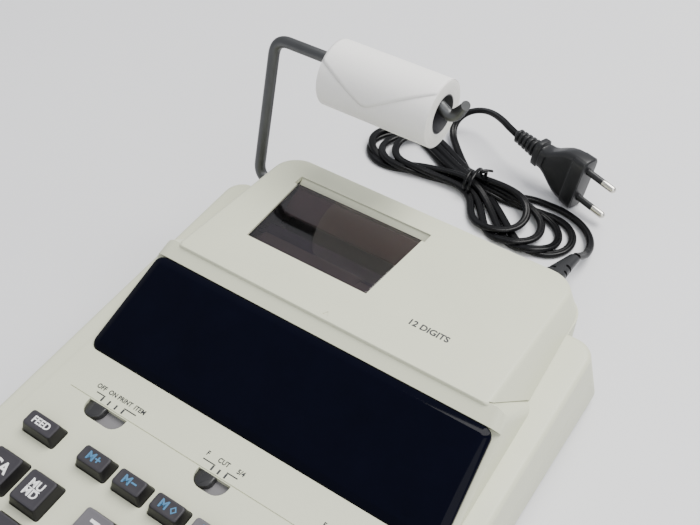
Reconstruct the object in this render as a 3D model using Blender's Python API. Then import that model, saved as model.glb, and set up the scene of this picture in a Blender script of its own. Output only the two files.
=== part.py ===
"""Printing desk calculator with a paper roll on a wire holder and a mains lead.

All sizes below are millimetres and become metres when a mesh is made.
X runs to the user's right, Y to the rear and Z up. The Y sizes are measured
from the front edge of the case; row_y() moves them so that the origin is in
the middle of the machine, on the surface that it stands on.
"""
import math

import bmesh
import bpy
from mathutils import Matrix, Vector

MM = 0.001
GAP = 0.3                      # clearance between pieces that touch
REACH = 130.0                  # half-width of a cutter that passes through everything

# ---------------------------------------------------------------- case
FOOT_H = 3.0
FOOT_R = 6.0
FOOT_X = 82.0
FOOT_Y = (22.0, 292.0)
CASE_HALF_W = 98.5             # at the bottom edge
RAIL_HALF_W = CASE_HALF_W - 1.5   # at the top edge
CASE_D = 318.0                 # bottom edge, front to rear
RAIL_D = 293.0                 # top edge, front to rear
DECK_Z0 = 20.0                 # height of the deck at the front edge
DECK_SLOPE = 0.107             # rise of the deck per unit of depth
WALL = 2.5
CORNER_R = 9.0
SPLIT_Z0 = 10.0                # parting line between the two case halves
SPLIT_SLOPE = 0.055
BAY_HALF_W = 83.0              # rear bay that carries the printer cover
BAY_REAR = 313.0
BAY_BOTTOM = 14.0
BAY_FRONT = 262.0
CASE_EDGE = 1.6                # height of the bevel round the case's top and bottom
POST_IN = 6.0                  # board posts in from the board's edges
POST_W = 6.0

# ---------------------------------------------------------------- display
LENS_FRONT = 178.6
LENS_FRONT_Z = 39.7
LENS_TOP = 223.0
LENS_TOP_Z = 61.3
LENS_T = 3.0
LENS_HALF_FRONT = 86.0
LENS_HALF_TOP = 83.2
HOOD_HALF_FOOT = 87.4
HOOD_DRAFT = 0.155             # how fast the hood narrows with height
CREST_Y = 230.2                # crease between the hood and the printer cover
CREST_Z = 65.6
HOOD_BACK = 254.6
HOOD_FOOT_Z = 25.0
DISPLAY_VIEW = (10.0, 38.0)    # opening under the lens, along its slope
DISPLAY_VIEW_HALF_W = 70.0

# ---------------------------------------------------------------- printer cover
COVER_FRONT = 228.6
COVER_HALF_TOP = 76.5
COVER_TOP_FRONT_Z = 66.2
COVER_TOP_REAR_Z = 64.2
COVER_DRAFT = 0.42             # how fast the cover widens on its way down
COVER_FOOT_Z = 44.0
COVER_CORNER_R = 12.0
COVER_FRONT_R = 2.6
COVER_WALL = 2.2
COVER_EDGE = 1.8               # height of the bevel round the cover's top
PRINTER_WELL = (144.0, 248.0, 304.0)   # opening under the cover: width, front, rear

WINDOW_FRONT = 251.7
WINDOW_REAR = 295.4
WINDOW_LEFT = (-56.0, -59.8)   # at the front, at the rear
WINDOW_RIGHT = (6.6, 8.4)
WINDOW_T = 2.0
WINDOW_DROP = 0.4              # window below the cover's top
PAPER_SLOT = 5.0               # depth of the slot behind the window

# ---------------------------------------------------------------- keys
KEY_PITCH = 18.6
KEY_W = 15.1
FEED_KEY_W = 17.0
KEY_CLEAR = 0.35               # between a key and its hole, each side
KEY_PROUD = 5.6                # top of a key above the deck
KEY_STEM = 5.0                 # skirt below the deck
KEY_TOP_INSET = 1.4
SMALL_KEY_D = 9.0
LARGE_KEY_D = 15.4
SMALL_ROW_Y = 138.5
FIRST_ROW_Y = 116.6
ROW_PITCH = 19.4
FUNCTION_X = -71.4             # first column of function keys
MEMORY_X = -42.8               # first memory key
DIGIT_X = -23.8                # first column of digits
OPERATOR_X = 42.4              # first column of operators
KEYPAD_DROP = 12.0             # key board below the deck
KEYPAD_MARGIN = 2.0            # key board past the outer keys
DECK_CUT = 9.0                 # reach of a hole's cutter either side of the deck

# ---------------------------------------------------------------- switches
SLOT_FRONT = 152.6
SLOT_REAR = 159.8
SWITCHES = (                   # name, slot left, slot right, knob width
    ("mode_switch_knob", -67.0, -46.6, 9.6),
    ("rounding_switch_knob", -8.9, 6.8, 8.4),
    ("decimal_switch_knob", 46.4, 66.8, 8.4),
)
SWITCH_PLATE_T = 1.0
SWITCH_PLATE_MARGIN = 1.6      # plate past the slot, front and rear
KNOB_PROUD = 1.4

# ---------------------------------------------------------------- roll and holder
WIRE_R = 2.8
HOLDER_PIVOT = (306.5, 46.0)   # y, z of the foot of the wire
HOLDER_TOP = (324.0, 117.0)    # y, z of the arm
HOLDER_X = -93.3
HOLDER_FOOT_END = -52.0
HOLDER_ARM_END = -6.0
HOLDER_HOOK = ((3.0, 0.0, -2.7), (5.5, 0.0, -4.4), (7.6, 0.2, -4.8),   # from the arm's end
               (9.6, 1.0, -3.5), (11.4, 1.6, -1.0), (12.8, 2.0, 1.6))
HOLDER_BEND_R = 8.0
HOLDER_BORE_X = (-90.0, -70.0)
ROLL_R = 15.6
ROLL_HOLE_R = 8.8
ROLL_W = 57.0
ROLL_X0 = -59.6

# ---------------------------------------------------------------- mechanism
FRAME_X = (-67.0, 17.0)
FRAME_T = 1.6
FRAME_Y = (258.0, 300.0)
FRAME_TOP_Z = 56.0
FRAME_BASE_Z = 9.0
DRUM = (272.0, 36.0)           # y, z of the type drum's shaft
DRUM_R = 7.0
INK = (272.0, 48.6)            # y, z of the ink roller
INK_R = 5.0
PLATEN = (289.6, 40.0)         # y, z of the platen roller
PLATEN_R = 6.0
SHAFT_R = 1.6
SHAFT_CLEAR = 0.08
ROLLER_X = (-60.0, 9.0)
GEAR_MODULE = 1.0
GEAR_TEETH = 24
PINION_TEETH = 12
GEAR_X = (19.4, 22.4)
MOTOR_R = 10.0
MOTOR_LEN = 16.0
MOTOR_SHAFT_R = 1.4
TRANSFORMER = (44.0, 84.0, 246.0, 290.0, 40.0)   # x0, x1, y0, y1, height
MAIN_BOARD = (-84.0, 30.0, 152.0, 222.0)         # x0, x1, y0, y1
BOARD_T = 1.6
BOARD_Z = 11.0
DISPLAY_TUBE = (-62.0, 62.0)
TUBE_PLACE = (24.0, -13.5)     # along the lens's slope, off it
TUBE_SECTION = ((-11.0, -9.0), (12.0, 1.8), (10.0, 6.0), (-13.0, -4.8))

# ---------------------------------------------------------------- mains lead
INLET_X = 52.0
INLET_Z = 17.0
INLET_W = 22.0
INLET_H = 14.0
INLET_D = 14.0
INLET_BACK = 4.0               # wall behind the inlet's socket
NOSE_W = 15.0
NOSE_H = 8.0
CORD_W = 4.6                   # width of the flat lead
CONNECTOR_W = 20.0
CONNECTOR_D = 34.0
RELIEF_D = 30.0
RELIEF_DRIFT = 3.0             # sideways turn of the sleeve
PLUG_YAW_DEG = -16.6           # the plug stands on its narrow edge
PLUG_PITCH_DEG = -5.1
PLUG_LEAN_DEG = 86.0
PLUG_REAR = (-14.0, 449.3, 22.0)   # where the plug's sleeve starts
PIN_R = 2.0
PIN_LEN = 19.0
PIN_PITCH = 18.6
CONNECTOR_LEAD = ((55.4, 382.6, 13.0), (56.8, 390.0, 8.6), (57.2, 399.0, 5.0), (54.6, 408.6, 3.2),
                  (49.0, 416.4, 2.7), (41.4, 421.4, 2.7), (33.0, 423.6, 2.7), (21.0, 425.0, 2.7),
                  (10.8, 425.3, 2.7))
PLUG_LEAD = ((-49.0, 442.4, 2.9), (-54.4, 447.5, 3.6), (-58.2, 453.6, 6.2), (-58.2, 460.2, 9.8),
             (-53.6, 465.0, 13.6), (-46.0, 466.4, 17.0), (-37.2, 463.6, 19.9), (-28.8, 458.2, 21.8),
             (-21.2, 452.9, 22.3), (-14.6, 449.5, 22.0))

OVERALL_D = HOLDER_TOP[0] + ROLL_R
COLORS = {
    "ivory": ((0.60, 0.61, 0.50, 1.0), 0.42, 0.0),
    "lens": ((0.004, 0.005, 0.012, 1.0), 0.08, 0.0),
    "smoke": ((0.05, 0.035, 0.035, 1.0), 0.10, 0.0),
    "charcoal": ((0.045, 0.043, 0.05, 1.0), 0.42, 0.0),
    "grey_key": ((0.15, 0.14, 0.15, 1.0), 0.42, 0.0),
    "black": ((0.010, 0.010, 0.011, 1.0), 0.38, 0.0),
    "rubber": ((0.02, 0.02, 0.02, 1.0), 0.85, 0.0),
    "wire": ((0.12, 0.125, 0.13, 1.0), 0.42, 0.85),
    "steel": ((0.55, 0.55, 0.56, 1.0), 0.30, 1.0),
    "nickel": ((0.75, 0.73, 0.68, 1.0), 0.18, 1.0),
    "paper": ((0.83, 0.81, 0.77, 1.0), 0.85, 0.0),
    "board": ((0.05, 0.18, 0.08, 1.0), 0.50, 0.0),
    "copper": ((0.45, 0.18, 0.08, 1.0), 0.35, 0.8),
    "white": ((0.75, 0.75, 0.72, 1.0), 0.45, 0.0),
    "glass": ((0.55, 0.65, 0.62, 1.0), 0.06, 0.0),
    "ink": ((0.05, 0.02, 0.10, 1.0), 0.70, 0.0),
}


# ================================================================ helpers
def row_y(y):
    """Distance from the case's front edge to the row's Y."""
    return y - OVERALL_D / 2


def deck_z(y):
    return DECK_Z0 + DECK_SLOPE * y


def split_z(y):
    return SPLIT_Z0 + SPLIT_SLOPE * y


def material(name):
    found = bpy.data.materials.get(name)
    if found:
        return found
    color, roughness, metallic = COLORS[name]
    made = bpy.data.materials.new(name)
    made.use_nodes = True
    shader = made.node_tree.nodes["Principled BSDF"]
    shader.inputs["Base Color"].default_value = color
    shader.inputs["Roughness"].default_value = roughness
    shader.inputs["Metallic"].default_value = metallic
    made.diffuse_color = color
    return made


def solid(name, rings, finish=None, smooth=False):
    """One closed body lofted through rings of equal length, capped at both ends."""
    work = bmesh.new()
    loops = [[work.verts.new((x * MM, row_y(y) * MM, z * MM)) for x, y, z in ring] for ring in rings]
    count = len(loops[0])
    for low, high in zip(loops, loops[1:]):
        for i in range(count):
            j = (i + 1) % count
            work.faces.new((low[i], low[j], high[j], high[i]))
    work.faces.new(loops[0])
    work.faces.new(loops[-1])
    bmesh.ops.recalc_face_normals(work, faces=work.faces)
    mesh = bpy.data.meshes.new(name)
    work.to_mesh(mesh)
    work.free()
    made = bpy.data.objects.new(name, mesh)
    bpy.context.scene.collection.objects.link(made)
    if finish:
        mesh.materials.append(material(finish))
    if smooth:
        mesh.shade_smooth()
        mesh.set_sharp_from_angle(angle=math.radians(35))
    return made


def box(name, x, y, z, finish=None):
    ring = [(x[0], y[0]), (x[1], y[0]), (x[1], y[1]), (x[0], y[1])]
    return solid(name, [[(*p, z[0]) for p in ring], [(*p, z[1]) for p in ring]], finish)


def side_prism(name, outline, half_width, finish=None):
    """A (y, z) outline carried across the machine; half_width(z) sets each end."""
    left = [(-half_width(z), y, z) for y, z in outline]
    right = [(half_width(z), y, z) for y, z in outline]
    return solid(name, [left, right], finish)


def rounded_ring(half_w, y0, y1, radius, height, front_radius=None, steps=4):
    """Corner-rounded rectangle in plan, at height(y)."""
    ring = []
    corners = ((half_w, y0, -90), (half_w, y1, 0), (-half_w, y1, 90), (-half_w, y0, 180))
    for cx, cy, start in corners:
        turn = front_radius if front_radius and cy == y0 else radius
        ox = cx - math.copysign(turn, cx)
        oy = cy + turn if cy == y0 else cy - turn
        for i in range(steps + 1):
            angle = math.radians(start + 90 * i / steps)
            x = ox + turn * math.cos(angle)
            y = oy + turn * math.sin(angle)
            ring.append((x, y, height(y)))
    return ring


def circle(radius, count, phase=0.0):
    turn = 2 * math.pi / count
    return [(radius * math.cos(turn * i + phase), radius * math.sin(turn * i + phase)) for i in range(count)]


def x_cylinder(name, centre, radius, x, finish=None, count=24):
    rings = [[(end, centre[0] + a, centre[1] + b) for a, b in circle(radius, count)] for end in x]
    return solid(name, rings, finish, smooth=True)


def set_origin(piece, x, y, z):
    """Moves a piece's origin to a point on its joint axis, keeping its shape in place."""
    place = Vector((x * MM, row_y(y) * MM, z * MM))
    piece.data.transform(Matrix.Translation(-place))
    piece.location = place
    bpy.context.view_layer.update()


def apply_boolean(target, other, operation):
    step = target.modifiers.new(operation.lower(), "BOOLEAN")
    step.operation = operation
    step.object = other
    bpy.context.view_layer.update()
    evaluated = target.evaluated_get(bpy.context.evaluated_depsgraph_get())
    result = bpy.data.meshes.new_from_object(evaluated)
    target.modifiers.clear()
    target.data = result
    bpy.data.objects.remove(other)
    return target


def cut(target, *cutters):
    for cutter in cutters:
        apply_boolean(target, cutter, "DIFFERENCE")
    return target


def add(target, *others):
    for other in others:
        apply_boolean(target, other, "UNION")
    return target


def recolour(piece, finish):
    piece.data.materials.clear()
    piece.data.materials.append(material(finish))
    for face in piece.data.polygons:
        face.material_index = 0


# ================================================================ case
def slope_point(along, off):
    """A (y, z) point on the display's slope: along it from its front, off it outwards."""
    run = LENS_TOP - LENS_FRONT
    rise = LENS_TOP_Z - LENS_FRONT_Z
    length = math.hypot(run, rise)
    dy, dz = run / length, rise / length
    return (LENS_FRONT + along * dy - off * dz, LENS_FRONT_Z + along * dz + off * dy)


def slope_length():
    return math.hypot(LENS_TOP - LENS_FRONT, LENS_TOP_Z - LENS_FRONT_Z)


def rear_y(z, inset=0.0):
    """The case's sloping rear wall at a height."""
    share = (z - FOOT_H) / (deck_z(RAIL_D) - FOOT_H)
    return CASE_D + (RAIL_D - CASE_D) * share - inset


def case_body(name, inset, floor_z, top_inset):
    """The case without the display hood and the rear bay, grown or shrunk by an inset."""
    def top(y):
        return deck_z(y) - top_inset

    def shoulder(y):
        return deck_z(y) - top_inset - CASE_EDGE

    def floor(_):
        return floor_z

    def wall_foot(_):
        return floor_z + CASE_EDGE

    radius = CORNER_R - inset
    rear_low = rear_y(floor_z + CASE_EDGE, inset)
    rear_high = rear_y(deck_z(RAIL_D) - CASE_EDGE, inset)
    return solid(name, [
        rounded_ring(CASE_HALF_W - inset - 1.4, 3.6 + inset, rear_low - 1.4, radius, floor),
        rounded_ring(CASE_HALF_W - inset, 2.2 + inset, rear_low, radius, wall_foot),
        rounded_ring(RAIL_HALF_W - inset, inset, rear_high, radius, shoulder),
        rounded_ring(RAIL_HALF_W - inset - 1.4, 1.4 + inset, rear_high - 1.4, radius, top),
    ])


def hood_body(name, inset, foot_z):
    """The display hood: a ramp under the lens, a crest and a slope down at the back."""
    outline = [
        (182.0 + inset, foot_z),
        slope_point(4.0 + 1.2 * inset, -LENS_T - GAP - inset),
        slope_point(slope_length(), -LENS_T - GAP - inset),
        (LENS_TOP + 2.2 + 0.4 * inset, LENS_TOP_Z - 0.6 - 1.1 * inset),
        (CREST_Y, CREST_Z - 1.5 * inset),
        (HOOD_BACK - 1.1 * inset, deck_z(HOOD_BACK)),
        (HOOD_BACK - 1.1 * inset, foot_z),
    ]
    return side_prism(name, outline, lambda z: HOOD_HALF_FOOT - inset - HOOD_DRAFT * (z - 44.0))


def bay_body(name, inset, low_z):
    """The rear bay under the printer cover, standing out behind the rails."""
    def top(y):
        return deck_z(y) - 0.3 - inset

    sides = (BAY_HALF_W - inset, BAY_FRONT + inset, BAY_REAR - inset, COVER_CORNER_R - inset)
    return solid(name, [rounded_ring(*sides, lambda _: low_z), rounded_ring(*sides, top)])


def outer_case(name):
    whole = case_body(name, 0.0, FOOT_H, 0.0)
    return add(whole, bay_body("bay", 0.0, BAY_BOTTOM), hood_body("hood", 0.0, HOOD_FOOT_Z))


def split_cutter(name, above, gap=0.0):
    """A block on one side of the parting line."""
    far = 200.0 if above else -50.0
    ends = ((-20.0, split_z(-20.0) + gap), (360.0, split_z(360.0) + gap))
    outline = [ends[0], ends[1], (360.0, far), (-20.0, far)]
    return side_prism(name, outline, lambda _: REACH)


def lens_plate(name, grow=0.0):
    """The slanted display lens, or its seat when grown."""
    rings = []
    for off in (-LENS_T - grow, grow + (30.0 if grow else 0.0)):
        front, back = slope_point(-grow, off), slope_point(slope_length() + grow, off)
        wide, narrow = LENS_HALF_FRONT + grow, LENS_HALF_TOP + grow
        rings.append([(-wide, *front), (wide, *front), (narrow, *back), (-narrow, *back)])
    return solid(name, rings)


def deck_box(name, x, y, h, finish=None):
    """A box square to the deck: h runs along the deck's normal from its surface."""
    tilt = math.atan(DECK_SLOPE)
    mid = (y[0] + y[1]) / 2
    rings = []
    for lift in h:
        ring = []
        for px, py in ((x[0], y[0]), (x[1], y[0]), (x[1], y[1]), (x[0], y[1])):
            along = py - mid
            ring.append((px, mid + along * math.cos(tilt) - lift * math.sin(tilt),
                         deck_z(mid) + along * math.sin(tilt) + lift * math.cos(tilt)))
        rings.append(ring)
    return solid(name, rings, finish)


def make_lower_case():
    case = outer_case("lower_case")
    cut(case, split_cutter("keep_low", True, -GAP / 2))
    cut(case, case_body("cavity", WALL, FOOT_H + WALL, WALL))
    cut(case, bay_body("bay_cavity", WALL, BAY_BOTTOM + WALL))
    x0, x1, y0, y1 = MAIN_BOARD
    floor = FOOT_H + WALL - 0.5
    half = POST_W / 2
    for x in (x0 + POST_IN, x1 - POST_IN):
        for y in (y0 + POST_IN, y1 - POST_IN):
            add(case, box("post", (x - half, x + half), (y - half, y + half), (floor, BOARD_Z - GAP)))
    half = INLET_W / 2 + GAP
    tall = INLET_H / 2 + GAP
    through = (BAY_REAR - INLET_D + 1.0, BAY_REAR + 15.0)
    room = (INLET_Z - tall, INLET_Z + tall)
    cut(case, box("inlet_hole", (INLET_X - half, INLET_X + half), through, room))
    recolour(case, "ivory")


def key_table():
    """Every key: name, centre x, centre y, width, depth, finish."""
    keys = [("feed_key", FUNCTION_X, SMALL_ROW_Y, FEED_KEY_W, SMALL_KEY_D, "charcoal")]
    memory = ("memory_plus_key", "memory_minus_key", "memory_subtotal_key", "memory_total_key")
    for i, name in enumerate(memory):
        finish = "grey_key" if name == "memory_total_key" else "charcoal"
        keys.append((name, MEMORY_X + i * KEY_PITCH, SMALL_ROW_Y, KEY_W, SMALL_KEY_D, finish))
    rows = [FIRST_ROW_Y - ROW_PITCH * i for i in range(4)]

    def large(name, x, row, finish, width=KEY_W, tall=0.0):
        """A large key; a tall one reaches one row further to the front."""
        keys.append((name, x, rows[row] - tall / 2, width, LARGE_KEY_D + tall, finish))

    large("clear_all_key", FUNCTION_X, 0, "charcoal")
    large("mark_up_key", FUNCTION_X + KEY_PITCH, 0, "charcoal")
    large("clear_key", FUNCTION_X, 1, "charcoal")
    large("percent_key", FUNCTION_X + KEY_PITCH, 1, "charcoal")
    for row, digits in enumerate(((7, 8, 9), (4, 5, 6), (1, 2, 3))):
        for column, digit in enumerate(digits):
            large(f"digit_{digit}_key", DIGIT_X + column * KEY_PITCH, row, "grey_key")
    large("digit_0_key", DIGIT_X + KEY_PITCH / 2, 3, "grey_key", KEY_W + KEY_PITCH)
    large("decimal_point_key", DIGIT_X + 2 * KEY_PITCH, 3, "grey_key")
    large("divide_key", OPERATOR_X, 0, "charcoal")
    large("multiply_key", OPERATOR_X, 1, "charcoal")
    large("equals_key", OPERATOR_X, 2, "charcoal", tall=ROW_PITCH)
    large("minus_key", OPERATOR_X + KEY_PITCH, 0, "charcoal", tall=ROW_PITCH)
    large("plus_key", OPERATOR_X + KEY_PITCH, 2, "charcoal", tall=ROW_PITCH)
    return keys


def make_upper_case():
    case = outer_case("upper_case")
    cut(case, split_cutter("keep_high", False, GAP / 2))
    cut(case, case_body("cavity", WALL, FOOT_H + WALL, WALL))
    cut(case, bay_body("bay_cavity", WALL, BAY_BOTTOM + WALL))
    cut(case, hood_body("hood_cavity", WALL, HOOD_FOOT_Z - 5.0), lens_plate("lens_seat", GAP))
    width, front, rear = PRINTER_WELL
    cut(case, box("printer_well", (-width / 2, width / 2), (front, rear), (30.0, 90.0)))
    low, high = DISPLAY_VIEW
    view = [slope_point(low, -14), slope_point(high, -14), slope_point(high, 6), slope_point(low, 6)]
    cut(case, side_prism("display_opening", view, lambda _: DISPLAY_VIEW_HALF_W))
    for name, x, y, width, depth, _ in key_table():
        hole = (x - width / 2 - KEY_CLEAR, x + width / 2 + KEY_CLEAR)
        depth_range = (y - depth / 2 - KEY_CLEAR, y + depth / 2 + KEY_CLEAR)
        cut(case, deck_box("hole", hole, depth_range, (-DECK_CUT, DECK_CUT)))
    for _, left, right, _ in SWITCHES:
        cut(case, deck_box("slot", (left, right), (SLOT_FRONT, SLOT_REAR), (-DECK_CUT, DECK_CUT)))
    cut(case, x_cylinder("holder_bore", HOLDER_PIVOT, WIRE_R + GAP, HOLDER_BORE_X, count=20))
    recolour(case, "ivory")


def make_feet():
    for side, x in (("left", -FOOT_X), ("right", FOOT_X)):
        for end, y in zip(("front", "rear"), FOOT_Y):
            rings = [[(x + a, y + b, z) for a, b in circle(r, 20)]
                     for r, z in ((FOOT_R - 0.8, 0.0), (FOOT_R, 0.8), (FOOT_R, FOOT_H - GAP))]
            solid(f"foot_{end}_{side}", rings, "rubber", smooth=True)


def make_lens():
    lens = lens_plate("display_lens")
    recolour(lens, "lens")


# ================================================================ printer cover
def cover_top(y):
    share = (y - COVER_FRONT) / (BAY_REAR - COVER_FRONT)
    return COVER_TOP_FRONT_Z + (COVER_TOP_REAR_Z - COVER_TOP_FRONT_Z) * share


def cover_block(name, inset, foot_z):
    """The cover's outside, or its hollow when inset."""
    widen = COVER_DRAFT * (COVER_TOP_FRONT_Z - foot_z)
    radius = COVER_CORNER_R - inset

    def shoulder(y):
        return cover_top(y) - inset - COVER_EDGE

    def top(y):
        return cover_top(y) - inset

    half = COVER_HALF_TOP - inset
    front, rear, sharp = COVER_FRONT + inset, BAY_REAR - inset, COVER_FRONT_R
    return solid(name, [
        rounded_ring(half + widen, front, rear + 1.0, radius, lambda _: foot_z, sharp),
        rounded_ring(half + 0.9, front, rear - 0.4, radius, shoulder, sharp),
        rounded_ring(half - 0.6, front + 0.8, rear - 2.0, radius, top, sharp),
    ])


def window_ring(grow, z_shift):
    """The window's outline on the cover's top."""
    front, rear = WINDOW_FRONT - grow, WINDOW_REAR + grow
    corners = ((WINDOW_LEFT[0] - grow, front), (WINDOW_RIGHT[0] + grow, front),
               (WINDOW_RIGHT[1] + grow, rear), (WINDOW_LEFT[1] - grow, rear))
    return [(x, y, cover_top(y) + z_shift) for x, y in corners]


def make_cover():
    cover = cover_block("printer_cover", 0.0, COVER_FOOT_Z)
    cut(cover, cover_block("cover_cavity", COVER_WALL, COVER_FOOT_Z - 5.0))
    below = [(200.0, 0.0), (340.0, 0.0), (340.0, deck_z(340.0) + GAP), (200.0, deck_z(200.0) + GAP)]
    cut(cover, side_prism("below_deck", below, lambda _: REACH), hood_body("hood", -GAP, HOOD_FOOT_Z))
    cut(cover, solid("window_hole", [window_ring(GAP, -8.0), window_ring(GAP, 6.0)]))
    wide = (WINDOW_LEFT[1] - PAPER_SLOT / 2, WINDOW_RIGHT[1] + PAPER_SLOT / 2)
    cut(cover, box("paper_slot", wide, (WINDOW_REAR - 1.0, WINDOW_REAR + PAPER_SLOT), (56.0, 80.0)))
    recolour(cover, "ivory")
    faces = [window_ring(0.0, -WINDOW_T - WINDOW_DROP), window_ring(0.0, -WINDOW_DROP)]
    window = solid("cover_window", faces, "smoke")
    for piece in (cover, window):
        set_origin(piece, 0.0, (COVER_FRONT + BAY_REAR) / 2, COVER_TOP_REAR_Z)


# ================================================================ keys and switches
def make_keys():
    tilt = math.atan(DECK_SLOPE)
    for name, x, y, width, depth, finish in key_table():
        rings = []
        levels = ((0.0, -KEY_STEM), (0.0, 0.6), (0.6, KEY_PROUD - 1.2), (KEY_TOP_INSET, KEY_PROUD))
        for inset, lift in levels:
            half_w, half_d = width / 2 - inset, depth / 2 - inset
            ring = []
            for sx, sy in ((-1, -1), (1, -1), (1, 1), (-1, 1)):
                along = sy * half_d
                ring.append((x + sx * half_w, y + along * math.cos(tilt) - lift * math.sin(tilt),
                             deck_z(y) + along * math.sin(tilt) + lift * math.cos(tilt)))
            rings.append(ring)
        key = solid(name, rings, finish)
        set_origin(key, x, y, deck_z(y))


def make_switches():
    for name, left, right, width in SWITCHES:
        travel = right - left - width - 2 * GAP
        start = left + GAP
        under = -WALL - GAP - 0.2
        plate = deck_box(name, (left - travel - 1.5, right + 1.5),
                         (SLOT_FRONT - SWITCH_PLATE_MARGIN, SLOT_REAR + SWITCH_PLATE_MARGIN),
                         (under - SWITCH_PLATE_T, under))
        knob = deck_box("knob", (start, start + width), (SLOT_FRONT + GAP, SLOT_REAR - GAP),
                        (under - 0.5, KNOB_PROUD))
        add(plate, knob)
        recolour(plate, "black")
        set_origin(plate, start + width / 2, (SLOT_FRONT + SLOT_REAR) / 2, deck_z(SLOT_REAR))


# ================================================================ electronics
def make_boards():
    x0, x1, y0, y1 = MAIN_BOARD
    box("main_board", (x0, x1), (y0, y1), (BOARD_Z, BOARD_Z + BOARD_T), "board")
    left = FUNCTION_X - FEED_KEY_W / 2 - KEYPAD_MARGIN
    right = OPERATOR_X + KEY_PITCH + KEY_W / 2 + KEYPAD_MARGIN
    front = FIRST_ROW_Y - 3 * ROW_PITCH - LARGE_KEY_D / 2 - KEYPAD_MARGIN
    rear = SMALL_ROW_Y + SMALL_KEY_D / 2 + KEYPAD_MARGIN
    deck_box("key_board", (left, right), (front, rear), (-KEYPAD_DROP, -KEYPAD_DROP + BOARD_T), "board")
    x0, x1, y0, y1, height = TRANSFORMER
    core = box("transformer", (x0, x1), (y0 + 9, y1 - 9), (FOOT_H + WALL + GAP, height), "copper")
    winding = box("winding", (x0 + 7, x1 - 7), (y0, y1), (FOOT_H + WALL + 5, height - 6))
    recolour(add(core, winding), "copper")
    face = slope_point(*TUBE_PLACE)
    rings = [[(x, face[0] + a, face[1] + b) for a, b in TUBE_SECTION] for x in DISPLAY_TUBE]
    solid("display_tube", rings, "glass")
    half = INLET_W / 2
    back = BAY_REAR - INLET_D
    inlet = box("ac_inlet", (INLET_X - half, INLET_X + half), (back, BAY_REAR),
                (INLET_Z - INLET_H / 2, INLET_Z + INLET_H / 2))
    mouth = (NOSE_W / 2 + GAP, NOSE_H / 2 + GAP)
    cut(inlet, box("socket", (INLET_X - mouth[0], INLET_X + mouth[0]), (back + INLET_BACK, BAY_REAR + 5.0),
                   (INLET_Z - mouth[1], INLET_Z + mouth[1])))
    recolour(inlet, "black")


# ================================================================ printer
def gear_outline(teeth, centre, phase=0.0):
    """A gear's (y, z) outline with four corners to a tooth and a working backlash."""
    pitch_r = GEAR_MODULE * teeth / 2
    outline = []
    for tooth in range(teeth):
        middle = 2 * math.pi * (tooth + phase) / teeth
        root = 0.36 * 2 * math.pi / teeth
        tip = 0.13 * 2 * math.pi / teeth
        for angle, radius in ((-root, pitch_r - 1.15), (-tip, pitch_r + 0.75),
                              (tip, pitch_r + 0.75), (root, pitch_r - 1.15)):
            turn = middle + angle
            outline.append((centre[0] + radius * math.cos(turn), centre[1] + radius * math.sin(turn)))
    return outline


def spindle(name, centre, radius, finish, ends=(FRAME_X[0] - 1.5, FRAME_X[1] + 1.5)):
    """A roller between the side plates with its shaft through them."""
    roller = x_cylinder(name, centre, radius, ROLLER_X)
    add(roller, x_cylinder("shaft", centre, SHAFT_R, ends, count=16))
    recolour(roller, finish)
    return roller


def make_printer():
    x0, x1 = FRAME_X
    front, rear = FRAME_Y
    side = [(front, FRAME_BASE_Z), (rear, FRAME_BASE_Z), (rear, FRAME_TOP_Z - 10), (rear - 14, FRAME_TOP_Z),
            (front + 4, FRAME_TOP_Z), (front, FRAME_TOP_Z - 12)]
    frame = solid("printer_frame", [[(x0, y, z) for y, z in side], [(x0 + FRAME_T, y, z) for y, z in side]])
    other = solid("other_side", [[(x1 - FRAME_T, y, z) for y, z in side], [(x1, y, z) for y, z in side]])
    across = (x0 + 0.5, x1 - 0.5)
    base = box("base", across, (front + 0.4, rear - 0.4), (FRAME_BASE_Z + 0.1, FRAME_BASE_Z + 2.0))
    stay = box("stay", across, (front + 1, front + 3), (FRAME_BASE_Z + 1.0, FRAME_TOP_Z - 30))
    add(frame, other, base, stay)
    for centre in (DRUM, INK, PLATEN):
        cut(frame, x_cylinder("bore", centre, SHAFT_R + SHAFT_CLEAR, (x0 - 5, x1 + 5), count=16))
    for x in (x0 + 10, x1 - 10):
        for y in (front + 6, rear - 6):
            height = (FOOT_H + WALL + GAP, FRAME_BASE_Z + 1.0)
            add(frame, box("leg", (x - 3, x + 3), (y - 3, y + 3), height))
    recolour(frame, "steel")

    drum = spindle("type_drum", DRUM, DRUM_R, "steel", (x0 - 1.5, GEAR_X[0] + 1.0))
    wheel = gear_outline(GEAR_TEETH, DRUM)
    add(drum, solid("drum_gear", [[(x, y, z) for y, z in wheel] for x in GEAR_X]))
    recolour(drum, "steel")
    set_origin(drum, 0.0, *DRUM)
    set_origin(spindle("ink_roller", INK, INK_R, "ink"), 0.0, *INK)
    set_origin(spindle("platen_roller", PLATEN, PLATEN_R, "rubber"), 0.0, *PLATEN)

    spacing = GEAR_MODULE * (GEAR_TEETH + PINION_TEETH) / 2 + 0.15
    centre = (DRUM[0], DRUM[1] - spacing)
    toward_drum = 0.25 * PINION_TEETH + 0.5
    pinion = gear_outline(PINION_TEETH, centre, toward_drum)
    gear = solid("motor_pinion", [[(x, y, z) for y, z in pinion] for x in GEAR_X])
    shaft_ends = (GEAR_X[0] + 1.0, GEAR_X[1] + 5.0)
    add(gear, x_cylinder("motor_shaft", centre, MOTOR_SHAFT_R, shaft_ends, count=16))
    recolour(gear, "white")
    set_origin(gear, 0.0, *centre)
    start = GEAR_X[1] + 2.0
    motor = x_cylinder("printer_motor", centre, MOTOR_R, (start, start + MOTOR_LEN), count=28)
    bore_r = MOTOR_SHAFT_R + SHAFT_CLEAR
    cut(motor, x_cylinder("motor_bore", centre, bore_r, (start - 2.0, start + 6.0), count=16))
    recolour(motor, "steel")


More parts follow.
